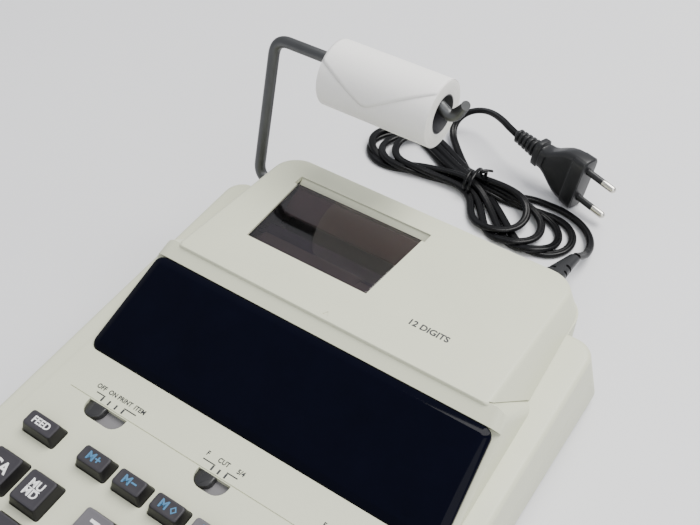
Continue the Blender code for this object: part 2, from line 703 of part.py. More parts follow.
# ================================================================ wire holder and roll
def filleted_path(corners, radius, steps=6):
    """Straight runs through corners, each corner turned on an arc of about a radius."""
    points = [Vector(corners[0])]
    for before, here, after in zip(corners, corners[1:], corners[2:]):
        here = Vector(here)
        back = (Vector(before) - here).normalized()
        ahead = (Vector(after) - here).normalized()
        reach = radius / math.tan(back.angle(ahead) / 2)
        start, end = here + back * reach, here + ahead * reach
        for i in range(steps + 1):
            t = i / steps
            points.append(start * (1 - t) ** 2 + here * 2 * t * (1 - t) + end * t ** 2)
    points.append(Vector(corners[-1]))
    return points


def tube(name, points, radius, finish, resolution=2):
    """A round wire or lead along points in millimetres."""
    curve = bpy.data.curves.new(name, "CURVE")
    curve.dimensions = "3D"
    curve.bevel_depth = radius * MM
    curve.bevel_resolution = resolution
    curve.use_fill_caps = True
    line = curve.splines.new("POLY")
    line.points.add(len(points) - 1)
    for point, place in zip(line.points, points):
        point.co = (place[0] * MM, row_y(place[1]) * MM, place[2] * MM, 1.0)
    curve.materials.append(material(finish))
    made = bpy.data.objects.new(name, curve)
    bpy.context.scene.collection.objects.link(made)
    return made


def make_holder():
    low, high = HOLDER_PIVOT, HOLDER_TOP
    corners = [(HOLDER_FOOT_END, *low), (HOLDER_X, *low), (HOLDER_X, *high), (HOLDER_ARM_END, *high)]
    hook = [(HOLDER_ARM_END + x, high[0] + y, high[1] + z) for x, y, z in HOLDER_HOOK]
    tube("roll_holder", filleted_path(corners, HOLDER_BEND_R) + hook, WIRE_R, "wire", 3)
    drop = ROLL_HOLE_R - WIRE_R - GAP
    centre = (high[0], high[1] - drop)
    roll = x_cylinder("paper_roll", centre, ROLL_R, (ROLL_X0, ROLL_X0 + ROLL_W), count=40)
    hole = x_cylinder("roll_hole", centre, ROLL_HOLE_R, (ROLL_X0 - 5, ROLL_X0 + ROLL_W + 5), count=40)
    cut(roll, hole)
    recolour(roll, "paper")
    set_origin(roll, ROLL_X0 + ROLL_W / 2, *centre)


# ================================================================ mains lead
def smooth_route(route, per_span=3):
    """A smooth curve through a route's own points."""
    points = [Vector(p) for p in route]
    ends = [points[0] * 2 - points[1]] + points + [points[-1] * 2 - points[-2]]
    out = []
    for a, b, c, d in zip(ends, ends[1:], ends[2:], ends[3:]):
        for i in range(per_span):
            t = i / per_span
            out.append(0.5 * (2 * b + (c - a) * t + (2 * a - 5 * b + 4 * c - d) * t ** 2
                              + (3 * b - a - 3 * c + d) * t ** 3))
    out.append(points[-1])
    return out


def section(half_w, half_h, power=0.5, phase=math.pi / 16):
    """A rounded section in its own plane, square for a low power and round for 1."""
    return [(math.copysign(abs(a) ** power, a) * half_w, math.copysign(abs(b) ** power, b) * half_h)
            for a, b in circle(1.0, 16, phase)]


def plug_point(along, side, up):
    """A point on the plug: along its axis, across its pins, square to its flat face."""
    yaw, pitch, lean = (math.radians(v) for v in (PLUG_YAW_DEG, PLUG_PITCH_DEG, PLUG_LEAN_DEG))
    axis = Vector((math.cos(yaw) * math.cos(pitch), math.sin(yaw) * math.cos(pitch), math.sin(pitch)))
    level = Vector((-math.sin(yaw), math.cos(yaw), 0.0))
    above = axis.cross(level)
    across = level * math.cos(lean) + above * math.sin(lean)
    square = above * math.cos(lean) - level * math.sin(lean)
    return Vector(PLUG_REAR) + axis * along + across * side + square * up


def make_plug():
    stations = ((0.0, 3.2, 3.0), (16.0, 4.6, 4.4), (18.0, 7.0, 5.6), (22.0, 7.0, 5.8), (25.0, 8.2, 6.0),
                (38.0, 15.4, 6.8), (50.0, 17.0, 6.9), (52.0, 16.2, 6.3))
    rings = [[plug_point(along, *p) for p in section(w, h)] for along, w, h in stations]
    solid("plug_body", rings, "black", smooth=True)
    face = stations[-1][0]
    for name, side in (("plug_pin_left", PIN_PITCH / 2), ("plug_pin_right", -PIN_PITCH / 2)):
        stops = ((face + GAP, PIN_R), (face + PIN_LEN - 1.0, PIN_R), (face + PIN_LEN, PIN_R * 0.55))
        pin = [[plug_point(along, side + a, b) for a, b in section(r, r, 1.0)] for along, r in stops]
        solid(name, pin, "nickel", smooth=True)


def make_connector():
    """The appliance connector, seated in the inlet, with its sleeve turning down to the table."""
    start = (INLET_X, BAY_REAR + 1.0)
    stations = ((0.0, CONNECTOR_W / 2 - 1, 6.4, 0.0), (2.0, CONNECTOR_W / 2, 7.4, 0.0),
                (CONNECTOR_D - 4.0, CONNECTOR_W / 2, 7.4, 0.0), (CONNECTOR_D, 7.4, 6.2, 0.0),
                (CONNECTOR_D + RELIEF_D * 0.5, 4.6, 3.8, -1.2), (CONNECTOR_D + RELIEF_D, 3.2, 2.7, -2.8))
    rings = []
    for along, half_w, half_h, sink in stations:
        drift = RELIEF_DRIFT * max(0.0, along - CONNECTOR_D) / RELIEF_D
        outline = section(half_w, half_h)
        rings.append([(start[0] + drift - a, start[1] + along, INLET_Z + sink + b) for a, b in outline])
    body = solid("cord_connector", rings)
    half_w, half_h = NOSE_W / 2, NOSE_H / 2
    nose_tip = BAY_REAR - INLET_D + INLET_BACK + GAP
    nose = box("nose", (INLET_X - half_w, INLET_X + half_w), (nose_tip, BAY_REAR + 3.0),
               (INLET_Z - half_h, INLET_Z + half_h))
    recolour(add(body, nose), "black")


HANK_OUTLINE = (               # x, y of the tied bundle seen from above, going round
    (10.0, 428.0), (-4.0, 423.6), (-17.0, 422.4), (-26.0, 423.4), (-34.0, 429.6), (-41.4, 438.4),
    (-46.4, 444.0), (-50.8, 440.0), (-57.0, 438.4), (-68.0, 438.8), (-80.0, 437.0), (-92.0, 431.0),
    (-97.0, 422.0), (-92.0, 411.0), (-74.0, 403.0), (-58.0, 399.0), (-42.0, 401.0), (-29.0, 407.6),
    (-18.0, 407.0), (-12.0, 396.0), (-4.0, 386.0), (6.0, 380.0), (18.0, 379.0), (31.0, 384.0),
    (43.0, 394.0), (49.0, 405.0), (46.0, 413.0), (34.0, 415.0), (20.0, 419.4), (10.2, 422.4),
)
HANK_H = 12.0
TIE_X = (-26.1, -18.9)
TIE_Y = (405.4, 423.4)
TIE_SEAT = HANK_H - 2.4        # height of the seat that the tie lies in
TIE_SEAT_Y = (400.0, 430.0)


def make_hank():
    """The tied bundle of the lead: one outline raised to the bundle's height."""
    low = [(x, y, GAP) for x, y in HANK_OUTLINE]
    high = [(x, y, HANK_H) for x, y in HANK_OUTLINE]
    bundle = solid("cord_hank", [low, high], "black")
    room = (TIE_X[0] - GAP, TIE_X[1] + GAP)
    recolour(cut(bundle, box("tie_room", room, TIE_SEAT_Y, (TIE_SEAT, HANK_H + 5.0))), "black")
    box("cord_tie", TIE_X, TIE_Y, (TIE_SEAT + GAP, HANK_H + 1.0), "black")


def make_leads():
    tube("connector_lead", smooth_route(CONNECTOR_LEAD), CORD_W / 2, "black")
    tube("plug_lead", smooth_route(PLUG_LEAD), CORD_W / 2, "black")


def main():
    for old in list(bpy.data.objects):
        bpy.data.objects.remove(old)
    make_lower_case()
    make_upper_case()
    make_feet()
    make_lens()
    make_cover()
    make_keys()
    make_switches()
    make_boards()
    make_printer()
    make_holder()
    make_connector()
    make_plug()
    make_hank()
    make_leads()


main()
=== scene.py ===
"""Looks of the printing desk calculator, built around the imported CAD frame.

Lengths in the helpers are millimetres; Y values are measured from the case's
front edge, as the design does, and place() turns both into the row's metres.
"""
import math

import bmesh
import bpy
import numpy as np
from mathutils import Matrix, Vector


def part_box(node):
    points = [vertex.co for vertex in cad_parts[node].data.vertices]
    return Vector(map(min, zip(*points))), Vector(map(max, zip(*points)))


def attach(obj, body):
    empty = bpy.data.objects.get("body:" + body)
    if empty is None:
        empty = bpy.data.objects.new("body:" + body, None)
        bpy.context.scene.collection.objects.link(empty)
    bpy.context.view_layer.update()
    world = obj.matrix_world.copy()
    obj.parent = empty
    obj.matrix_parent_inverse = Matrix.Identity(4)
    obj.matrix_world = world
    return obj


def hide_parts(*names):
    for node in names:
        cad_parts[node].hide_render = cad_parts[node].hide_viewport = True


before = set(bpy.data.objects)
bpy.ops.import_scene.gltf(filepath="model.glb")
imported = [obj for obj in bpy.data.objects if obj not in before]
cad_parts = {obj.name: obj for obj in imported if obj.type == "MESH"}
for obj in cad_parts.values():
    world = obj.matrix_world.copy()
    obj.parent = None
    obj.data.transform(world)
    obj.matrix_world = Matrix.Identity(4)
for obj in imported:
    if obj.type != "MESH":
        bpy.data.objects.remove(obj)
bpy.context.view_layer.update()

MM = 0.001
GAP = 0.3
CASE_LOW, CASE_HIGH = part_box("upper_case")
FRONT = CASE_LOW[1]                       # the case's front edge in the row


# ================================================================ places and helpers
def place(p):
    """A point in design millimetres as row metres."""
    return (p[0] * MM, FRONT + p[1] * MM, p[2] * MM)


def design(p):
    """A row point in metres as design millimetres."""
    return (p[0] / MM, (p[1] - FRONT) / MM, p[2] / MM)


def node_box(name):
    low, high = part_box(name)
    return design(low), design(high)


DECK_Z0 = 20.0
DECK_SLOPE = 0.107
TILT = math.atan(DECK_SLOPE)


def deck_z(y):
    return DECK_Z0 + DECK_SLOPE * y


def link(name, mesh):
    made = bpy.data.objects.new(name, mesh)
    bpy.context.scene.collection.objects.link(made)
    return made


def shade(mesh, angle=32):
    mesh.shade_smooth()
    mesh.set_sharp_from_angle(angle=math.radians(angle))


def loft(name, rings, smooth=32, caps=True, closed=True):
    """A body through rings of equal length, in design millimetres."""
    work = bmesh.new()
    loops = [[work.verts.new(place(p)) for p in ring] for ring in rings]
    count = len(loops[0])
    for low, high in zip(loops, loops[1:]):
        for i in range(count if closed else count - 1):
            j = (i + 1) % count
            work.faces.new((low[i], low[j], high[j], high[i]))
    if caps:
        work.faces.new(loops[0])
        work.faces.new(loops[-1])
    bmesh.ops.recalc_face_normals(work, faces=work.faces)
    mesh = bpy.data.meshes.new(name)
    work.to_mesh(mesh)
    work.free()
    shade(mesh, smooth)
    return link(name, mesh)


def block(name, x, y, z):
    ring = [(x[0], y[0]), (x[1], y[0]), (x[1], y[1]), (x[0], y[1])]
    return loft(name, [[(*p, z[0]) for p in ring], [(*p, z[1]) for p in ring]])


def side_prism(name, outline, half_width):
    left = [(-half_width(z), y, z) for y, z in outline]
    right = [(half_width(z), y, z) for y, z in outline]
    return loft(name, [left, right])


def rounded_ring(x0, x1, y0, y1, radius, height, steps=8, front_radius=None):
    """Corner-rounded rectangle in plan, at height(x, y)."""
    ring = []
    corners = ((x1, y0, -90), (x1, y1, 0), (x0, y1, 90), (x0, y0, 180))
    for cx, cy, start in corners:
        turn = front_radius if front_radius and cy == y0 else radius
        ox = cx - turn if cx == x1 else cx + turn
        oy = cy + turn if cy == y0 else cy - turn
        for i in range(steps + 1):
            angle = math.radians(start + 90 * i / steps)
            x, y = ox + turn * math.cos(angle), oy + turn * math.sin(angle)
            ring.append((x, y, height(x, y)))
    return ring


def evaluated(obj):
    bpy.context.view_layer.update()
    return bpy.data.meshes.new_from_object(obj.evaluated_get(bpy.context.evaluated_depsgraph_get()))


def bake_modifiers(obj):
    mesh = evaluated(obj)
    obj.modifiers.clear()
    obj.data = mesh
    return obj


def boolean(target, other, operation):
    step = target.modifiers.new("step", "BOOLEAN")
    step.operation = operation
    step.object = other
    bake_modifiers(target)
    bpy.data.objects.remove(other)
    return target


def cut(target, *others):
    for other in others:
        boolean(target, other, "DIFFERENCE")
    return target


def add(target, *others):
    for other in others:
        boolean(target, other, "UNION")
    return target


def round_edges(obj, width, segments=3, angle=28, bake=True):
    step = obj.modifiers.new("round", "BEVEL")
    step.width = width * MM
    step.segments = segments
    step.limit_method = "ANGLE"
    step.angle_limit = math.radians(angle)
    step.use_clamp_overlap = True
    step.harden_normals = False
    if bake:
        bake_modifiers(obj)
    return obj


def dress(obj, finish, body="case", replaces=()):
    obj.data.materials.clear()
    obj.data.materials.append(finish)
    for face in getattr(obj.data, "polygons", ()):
        face.material_index = 0
    if replaces:
        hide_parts(*replaces)
    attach(obj, body)
    return obj


# ================================================================ materials
def new_material(name):
    made = bpy.data.materials.new(name)
    made.use_nodes = True
    tree = made.node_tree
    return made, tree, tree.nodes["Principled BSDF"]


def noise(tree, scale, detail=3.0, roughness=0.55, stretch=None):
    coords = tree.nodes.new("ShaderNodeTexCoord")
    out = tree.nodes.new("ShaderNodeTexNoise")
    out.inputs["Scale"].default_value = scale
    out.inputs["Detail"].default_value = detail
    out.inputs["Roughness"].default_value = roughness
    source = coords.outputs["Object"]
    if stretch:
        mapping = tree.nodes.new("ShaderNodeMapping")
        mapping.inputs["Scale"].default_value = stretch
        tree.links.new(source, mapping.inputs["Vector"])
        source = mapping.outputs["Vector"]
    tree.links.new(source, out.inputs["Vector"])
    return out.outputs["Fac"]


def ramp(tree, source, stops):
    node = tree.nodes.new("ShaderNodeValToRGB")
    elements = node.color_ramp.elements
    while len(elements) < len(stops):
        elements.new(0.5)
    for element, (position, color) in zip(elements, stops):
        element.position = position
        element.color = color
    tree.links.new(source, node.inputs["Fac"])
    return node.outputs["Color"]


def between(tree, source, low, high):
    node = tree.nodes.new("ShaderNodeMapRange")
    node.inputs["To Min"].default_value = low
    node.inputs["To Max"].default_value = high
    tree.links.new(source, node.inputs["Value"])
    return node.outputs["Result"]


def bump(tree, shader, source, distance, strength=1.0, before=None):
    node = tree.nodes.new("ShaderNodeBump")
    node.inputs["Distance"].default_value = distance
    node.inputs["Strength"].default_value = strength
    tree.links.new(source, node.inputs["Height"])
    if before is not None:
        tree.links.new(before, node.inputs["Normal"])
    tree.links.new(node.outputs["Normal"], shader.inputs["Normal"])
    return node.outputs["Normal"]


def shifted(color, factor):
    return tuple(min(1.0, c * factor) for c in color[:3]) + (1.0,)


def plastic(name, color, rough=0.42, grain=2400.0, depth=0.00002, spread=0.06, coat=0.0, specular=0.5):
    """Moulded plastic: faint tone drift, a fine texture and uneven gloss."""
    made, tree, shader = new_material(name)
    drift = noise(tree, 26.0, 4.0)
    tree.links.new(ramp(tree, drift, ((0.3, shifted(color, 1 - spread)), (0.7, shifted(color, 1 + spread)))),
                   shader.inputs["Base Color"])
    smear = noise(tree, 90.0, 5.0, 0.65)
    tree.links.new(between(tree, smear, rough - 0.07, rough + 0.07), shader.inputs["Roughness"])
    bump(tree, shader, noise(tree, grain, 2.0), depth, 0.55)
    shader.inputs["Specular IOR Level"].default_value = specular
    shader.inputs["Coat Weight"].default_value = coat
    shader.inputs["Coat Roughness"].default_value = 0.12
    return made


def metal(name, color, rough=0.3, brushed=(1.0, 1.0, 1.0), scale=900.0, depth=0.00001):
    made, tree, shader = new_material(name)
    grain = noise(tree, scale, 4.0, 0.6, brushed)
    tone = noise(tree, 60.0, 4.0)
    tree.links.new(ramp(tree, tone, ((0.25, shifted(color, 0.82)), (0.75, shifted(color, 1.12)))),
                   shader.inputs["Base Color"])
    tree.links.new(between(tree, grain, rough - 0.08, rough + 0.10), shader.inputs["Roughness"])
    bump(tree, shader, grain, depth, 0.5)
    shader.inputs["Metallic"].default_value = 1.0
    return made


def paper_material(name, color):
    made, tree, shader = new_material(name)
    fibre = noise(tree, 1400.0, 5.0, 0.7, (1.0, 0.35, 0.35))
    tree.links.new(ramp(tree, fibre, ((0.3, shifted(color, 0.97)), (0.7, shifted(color, 1.02)))),
                   shader.inputs["Base Color"])
    tree.links.new(between(tree, noise(tree, 200.0), 0.55, 0.75), shader.inputs["Roughness"])
    bump(tree, shader, fibre, 0.00002, 0.4)
    shader.inputs["Specular IOR Level"].default_value = 0.35
    return made


def layered_paper(name, color):
    """The roll's ends: the edges of many wound layers, with a few darker ones."""
    made, tree, shader = new_material(name)
    coords = tree.nodes.new("ShaderNodeTexCoord")
    low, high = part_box("paper_roll")
    centre = [(a + b) / 2 for a, b in zip(low, high)]
    offset = tree.nodes.new("ShaderNodeVectorMath")
    offset.operation = "SUBTRACT"
    offset.inputs[1].default_value = centre
    flat = tree.nodes.new("ShaderNodeVectorMath")
    flat.operation = "MULTIPLY"
    flat.inputs[1].default_value = (0.0, 1.0, 1.0)
    length = tree.nodes.new("ShaderNodeVectorMath")
    length.operation = "LENGTH"
    tree.links.new(coords.outputs["Object"], offset.inputs[0])
    tree.links.new(offset.outputs["Vector"], flat.inputs[0])
    tree.links.new(flat.outputs["Vector"], length.inputs[0])
    rings = tree.nodes.new("ShaderNodeTexNoise")
    rings.noise_dimensions = "1D"
    rings.inputs["Scale"].default_value = 2600.0
    rings.inputs["Detail"].default_value = 3.0
    tree.links.new(length.outputs["Value"], rings.inputs["W"])
    layers = rings.outputs["Fac"]
    tree.links.new(ramp(tree, layers, ((0.28, shifted(color, 0.80)), (0.6, shifted(color, 1.0)))),
                   shader.inputs["Base Color"])
    tree.links.new(between(tree, layers, 0.85, 0.7), shader.inputs["Roughness"])
    bump(tree, shader, layers, 0.00006, 0.6)
    return made


def tinted(name, color, rough, transmission):
    made, tree, shader = new_material(name)
    smear = noise(tree, 70.0, 5.0, 0.7)
    tree.links.new(ramp(tree, smear, ((0.3, shifted(color, 0.96)), (0.7, shifted(color, 1.04)))),
                   shader.inputs["Base Color"])
    tree.links.new(between(tree, smear, rough * 0.5, rough * 1.2), shader.inputs["Roughness"])
    shader.inputs["Transmission Weight"].default_value = transmission
    shader.inputs["IOR"].default_value = 1.49
    return made


def lens_material(name):
    """Near-black acrylic with a faint blue body and fine rubbing marks in its gloss, running up the slope over the
    whole face.
    """
    made, tree, shader = new_material(name)
    smear = noise(tree, 40.0, 6.0, 0.7)
    tree.links.new(ramp(tree, smear, ((0.3, (0.0006, 0.0009, 0.0042, 1)), (0.7, (0.0010, 0.0014, 0.0060, 1)))),
                   shader.inputs["Base Color"])
    streaks = noise(tree, 260.0, 6.0, 0.8, (1.0, 0.10, 0.12))
    tree.links.new(between(tree, streaks, 0.03, 0.13), shader.inputs["Roughness"])
    bump(tree, shader, streaks, 0.000004, 0.25)
    shader.inputs["Specular IOR Level"].default_value = 0.07
    return made


IVORY = plastic("casing_ivory", (0.605, 0.618, 0.468), 0.44, 2600.0, 0.000022, 0.02)
LENS = lens_material("lens_black")
DARK_KEY = plastic("key_charcoal", (0.033, 0.031, 0.036), 0.42, 3600.0, 0.000012, 0.10, specular=0.3)
# painted shade: a near-black copy of the key plastic, laid on every key's sides and skirt in place of their own
# colour
KEY_SIDE_SHADE = plastic("key_side_painted_shade", (0.009, 0.0085, 0.009), 0.40, 3600.0, 0.000012, 0.10, specular=0.3)
GREY_KEY = plastic("key_grey", (0.115, 0.110, 0.120), 0.42, 3600.0, 0.000012, 0.06, specular=0.3)
SWITCH = plastic("switch_black", (0.016, 0.016, 0.017), 0.36, 3000.0, 0.00001, 0.1)
SWITCH_GREY = plastic("switch_plate_grey", (0.150, 0.145, 0.152), 0.45, 3000.0, 0.00001, 0.06)
WHITE_INK = plastic("legend_white", (0.80, 0.80, 0.79), 0.5, 5000.0, 0.000004, 0.02)
BLUE_INK = plastic("legend_blue", (0.050, 0.165, 0.30), 0.5, 5000.0, 0.000004, 0.04)
DARK_INK = plastic("legend_dark", (0.022, 0.023, 0.028), 0.5, 5000.0, 0.000004, 0.04)
RUBBER = plastic("rubber_black", (0.020, 0.020, 0.020), 0.80, 1200.0, 0.00004, 0.15)
LEAD = plastic("lead_black", (0.0022, 0.0022, 0.0026), 0.27, 1500.0, 0.00001, 0.15, specular=0.2)
MOULDED = plastic("plug_black", (0.010, 0.0105, 0.0115), 0.40, 1700.0, 0.00003, 0.12, specular=0.42)
BOARD = plastic("board_green", (0.03, 0.12, 0.055), 0.45, 900.0, 0.00004, 0.2)
ACETAL = plastic("gear_white", (0.62, 0.61, 0.56), 0.45, 1500.0, 0.00001, 0.04)
INK_FOAM = plastic("ink_foam", (0.03, 0.015, 0.06), 0.85, 1500.0, 0.0002, 0.3)
COPPER = metal("winding_copper", (0.42, 0.17, 0.07), 0.35, (1.0, 8.0, 1.0), 700.0, 0.00008)
STEEL = metal("zinc_steel", (0.52, 0.52, 0.53), 0.32, (6.0, 1.0, 1.0))
WIRE = metal("holder_grey", (0.105, 0.107, 0.108), 0.44, (1.0, 1.0, 1.0), 1600.0, 0.00003)
NICKEL = metal("pin_nickel", (0.70, 0.68, 0.62), 0.20, (8.0, 1.0, 1.0), 1200.0, 0.000004)
PAPER = paper_material("roll_paper", (0.88, 0.865, 0.835))
PAPER_EDGE = layered_paper("roll_edge", (0.76, 0.745, 0.70))
CORE = plastic("roll_core", (0.06, 0.06, 0.065), 0.5, 1500.0, 0.00002, 0.1)
SMOKE = tinted("window_smoke", (0.40, 0.33, 0.34), 0.02, 1.0)
GLASS = tinted("tube_glass", (0.6, 0.68, 0.66), 0.03, 0.9)
GUIDE = plastic("guide_brown", (0.16, 0.115, 0.11), 0.42, 1500.0, 0.00002, 0.1)
MASK = plastic("mask_grey", (0.12, 0.11, 0.11), 0.42, 1500.0, 0.00002, 0.1)
DARK_STEEL = metal("drum_black", (0.05, 0.05, 0.055), 0.4, (6.0, 1.0, 1.0))


# ================================================================ camera and stage
LENS_FRONT, LENS_FRONT_Z = 178.6, 39.7
LENS_TOP, LENS_TOP_Z = 223.0, 61.3
LENS_T = 3.0
RUN = math.hypot(LENS_TOP - LENS_FRONT, LENS_TOP_Z - LENS_FRONT_Z)


def slope_point(along, off):
    """A (y, z) point on the display's slope."""
    dy, dz = (LENS_TOP - LENS_FRONT) / RUN, (LENS_TOP_Z - LENS_FRONT_Z) / RUN
    return (LENS_FRONT + along * dy - off * dz, LENS_FRONT_Z + along * dz + off * dy)


CAMERA_POINT = (148.8, 11.9, 349.3)       # design millimetres
CAMERA_AZIMUTH = 32.13
CAMERA_ELEVATION = 43.71
CAMERA_ROLL = 2.385
CAMERA_LENS = 48.79


def make_camera():
    azimuth, elevation, roll = (math.radians(v) for v in (CAMERA_AZIMUTH, CAMERA_ELEVATION, CAMERA_ROLL))
    ahead = Vector((-math.sin(azimuth) * math.cos(elevation), math.cos(azimuth) * math.cos(elevation),
                    -math.sin(elevation)))
    right = ahead.cross(Vector((0, 0, 1))).normalized()
    up = right.cross(ahead)
    right, up = (right * math.cos(roll) + up * math.sin(roll), up * math.cos(roll) - right * math.sin(roll))
    turn = Matrix((right, up, -ahead)).transposed().to_4x4()
    data = bpy.data.cameras.new("camera")
    data.lens = CAMERA_LENS
    data.sensor_width = 36.0
    camera = bpy.data.objects.new("camera", data)
    camera.matrix_world = Matrix.Translation(place(CAMERA_POINT)) @ turn
    bpy.context.scene.collection.objects.link(camera)
    bpy.context.scene.camera = camera


def floor_material():
    made, tree, shader = new_material("floor_pale")
    tone = noise(tree, 3.0, 3.0)
    tree.links.new(ramp(tree, tone, ((0.3, (0.70, 0.70, 0.715, 1)), (0.7, (0.73, 0.73, 0.74, 1)))),
                   shader.inputs["Base Color"])
    shader.inputs["Roughness"].default_value = 0.5
    return made


def area_light(name, where, aim, size, power, color=(1, 1, 1)):
    data = bpy.data.lights.new(name, "AREA")
    data.shape = "RECTANGLE"
    data.size, data.size_y = size
    data.energy = power
    data.color = color
    lamp = bpy.data.objects.new(name, data)
    lamp.location = where
    lamp.rotation_euler = (Vector(aim) - Vector(where)).to_track_quat("-Z", "Y").to_euler()
    bpy.context.scene.collection.objects.link(lamp)


def make_stage():
    half = 6.0
    work = bmesh.new()
    bmesh.ops.create_grid(work, x_segments=2, y_segments=2, size=half)
    mesh = bpy.data.meshes.new("floor")
    work.to_mesh(mesh)
    work.free()
    floor = link("floor", mesh)
    floor.data.materials.append(floor_material())
    world = bpy.data.worlds.new("studio")
    bpy.context.scene.world = world
    world.use_nodes = True
    back = world.node_tree.nodes["Background"]
    back.inputs["Color"].default_value = (0.92, 0.94, 1.0, 1.0)
    back.inputs["Strength"].default_value = 0.74
    area_light("key_light", (0.35, 0.75, 1.5), (0, 0.05, 0), (1.1, 1.1), 44.0, (1.0, 0.99, 0.965))
    area_light("fill_light", (1.1, -0.9, 1.2), (0, 0, 0), (1.4, 1.4), 14.0, (0.98, 0.985, 1.0))


make_camera()
make_stage()


# ================================================================ mains lead
CORD_W = 4.6
CORD_T = 3.0
CONNECTOR_LEAD = ((55.4, 382.6, 13.0), (56.8, 390.0, 8.6), (57.2, 399.0, 5.0), (54.6, 408.6, 3.2),
                  (49.0, 416.4, 2.7), (41.4, 421.4, 2.7), (33.0, 423.6, 2.7), (21.0, 425.0, 2.7),
                  (10.8, 425.3, 2.7))
PLUG_LEAD = ((-49.0, 442.4, 2.9), (-54.4, 447.5, 3.6), (-58.2, 453.6, 6.2), (-58.2, 460.2, 9.8),
             (-53.6, 465.0, 13.6), (-46.0, 466.4, 17.0), (-37.2, 463.6, 19.9), (-28.8, 458.2, 21.8),
             (-21.2, 452.9, 22.3), (-14.6, 449.5, 22.0))
TIE = (-22.5, 414.4)
# Each turn of the bundle: centre of its left end, centre of its right end, and their bend radii.
TURNS = (((-76.0, 419.0), (30.0, 400.5), 18.0, 17.0),
         ((-78.5, 422.0), (23.5, 397.5), 16.5, 16.5),
         ((-69.0, 419.5), (13.0, 397.0), 17.0, 16.5),
         ((-62.0, 422.5), (2.0, 400.5), 16.5, 16.5))


def tangent_lobe(centre, radius, entry, exit_point, clockwise):
    """Round one end of a turn: off the tie, round a circle and back to the tie."""
    points = []
    for point, sign in ((entry, 1), (exit_point, -1)):
        dx, dy = point[0] - centre[0], point[1] - centre[1]
        spread = math.acos(min(1.0, radius / math.hypot(dx, dy)))
        base = math.atan2(dy, dx)
        points.append(base + (sign if clockwise else -sign) * spread)
    start, end = points
    if clockwise:
        while end < start:
            end += 2 * math.pi
    else:
        while end > start:
            end -= 2 * math.pi
    count = 9
    out = []
    for i in range(count + 1):
        angle = start + (end - start) * i / count
        out.append((centre[0] + radius * math.cos(angle), centre[1] + radius * math.sin(angle)))
    return out


def bundle_route():
    """The tied turns, from the connector's lead to the plug's, with each pass at its own place in the tie."""
    pass_gap = CORD_W * 0.72
    route = []
    heights = []
    passes = 2 * len(TURNS) + 1
    for number, (left, right, left_r, right_r) in enumerate(TURNS):
        step = (number - (len(TURNS) - 1) / 2) * pass_gap
        upper = (TIE[0], TIE[1] + step + 1.6)
        lower = (TIE[0], TIE[1] - step - 1.6)
        level = 2.0 + 2.6 * number
        route.append(upper)
        heights.append(level)
        for p in tangent_lobe(left, left_r, upper, lower, True):
            route.append(p)
            heights.append(level + 0.6)
        route.append(lower)
        heights.append(level + 1.2)
        for p in tangent_lobe(right, right_r, lower, upper, True):
            route.append(p)
            heights.append(level + 1.8)
    route.append((TIE[0], TIE[1] + 5.0))
    heights.append(2.0 + 2.6 * passes / 2)
    route.append((-37.0, 431.0))
    heights.append(6.0)
    return [(x, y, z) for (x, y), z in zip(route, heights)]


def smooth_route(route, spacing=2.4):
    """A smooth curve through the points, cut into equal steps."""
    points = [Vector(p) for p in route]
    ends = [points[0] * 2 - points[1]] + points + [points[-1] * 2 - points[-2]]
    dense = []
    for a, b, c, d in zip(ends, ends[1:], ends[2:], ends[3:]):
        for i in range(12):
            t = i / 12
            dense.append(0.5 * (2 * b + (c - a) * t + (2 * a - 5 * b + 4 * c - d) * t ** 2
                                + (3 * b - a - 3 * c + d) * t ** 3))
    dense.append(points[-1])
    dense = np.array(dense)
    walked = np.concatenate([[0], np.cumsum(np.linalg.norm(np.diff(dense, axis=0), axis=1))])
    stops = np.linspace(0, walked[-1], int(walked[-1] / spacing) + 1)
    return np.stack([np.interp(stops, walked, dense[:, k]) for k in range(3)], axis=1)


def settle(points, fixed_start, fixed_end, passes=260):
    """Lets the bundle's turns down onto the table and onto each other."""
    line = points.copy()
    count = len(line)
    order = np.arange(count)
    far = np.abs(order[:, None] - order[None, :]) > 5
    free = (order >= fixed_start) & (order < count - fixed_end)
    touch = 3.5
    for _ in range(passes):
        line[free, 2] -= 0.08
        delta = line[:, None, :] - line[None, :, :]
        flat = np.hypot(delta[..., 0], delta[..., 1])
        close = far & (flat < touch)
        need = np.sqrt(np.maximum(0.0, touch ** 2 - flat ** 2)) * (CORD_T / touch)
        lack = np.where(close, need - np.abs(delta[..., 2]), 0.0)
        lack = np.maximum(lack, 0.0)
        push = 0.5 * lack * np.where(delta[..., 2] >= 0, 1.0, -1.0)
        count_hits = np.maximum(1, (lack > 0).sum(axis=1))
        line[free, 2] += (push.sum(axis=1) / count_hits * 1.4)[free]
        for _ in range(6):
            smoothed = line[:, 2].copy()
            smoothed[1:-1] = 0.5 * line[1:-1, 2] + 0.25 * (line[:-2, 2] + line[2:, 2])
            line[free, 2] = smoothed[free]
        line[:, 2] = np.maximum(line[:, 2], CORD_T / 2 + 0.1)
    return line


def relax(line, keep=6, passes=14):
    """Takes the small kinks out of a line without moving its ends."""
    for _ in range(passes):
        eased = line.copy()
        eased[1:-1] = 0.5 * line[1:-1] + 0.25 * (line[:-2] + line[2:])
        line[keep:-keep] = eased[keep:-keep]
    return line


def cord_section(count=10):
    """Half-turns round two cores that lie side by side, with the valley between them."""
    radius = CORD_T / 2
    offset = CORD_W / 2 - radius
    ring = []
    for side in (1, -1):
        for i in range(count + 1):
            angle = math.radians(-118 + 236 * i / count) + (0 if side == 1 else math.pi)
            ring.append((side * offset + radius * math.cos(angle), radius * math.sin(angle)))
    return ring


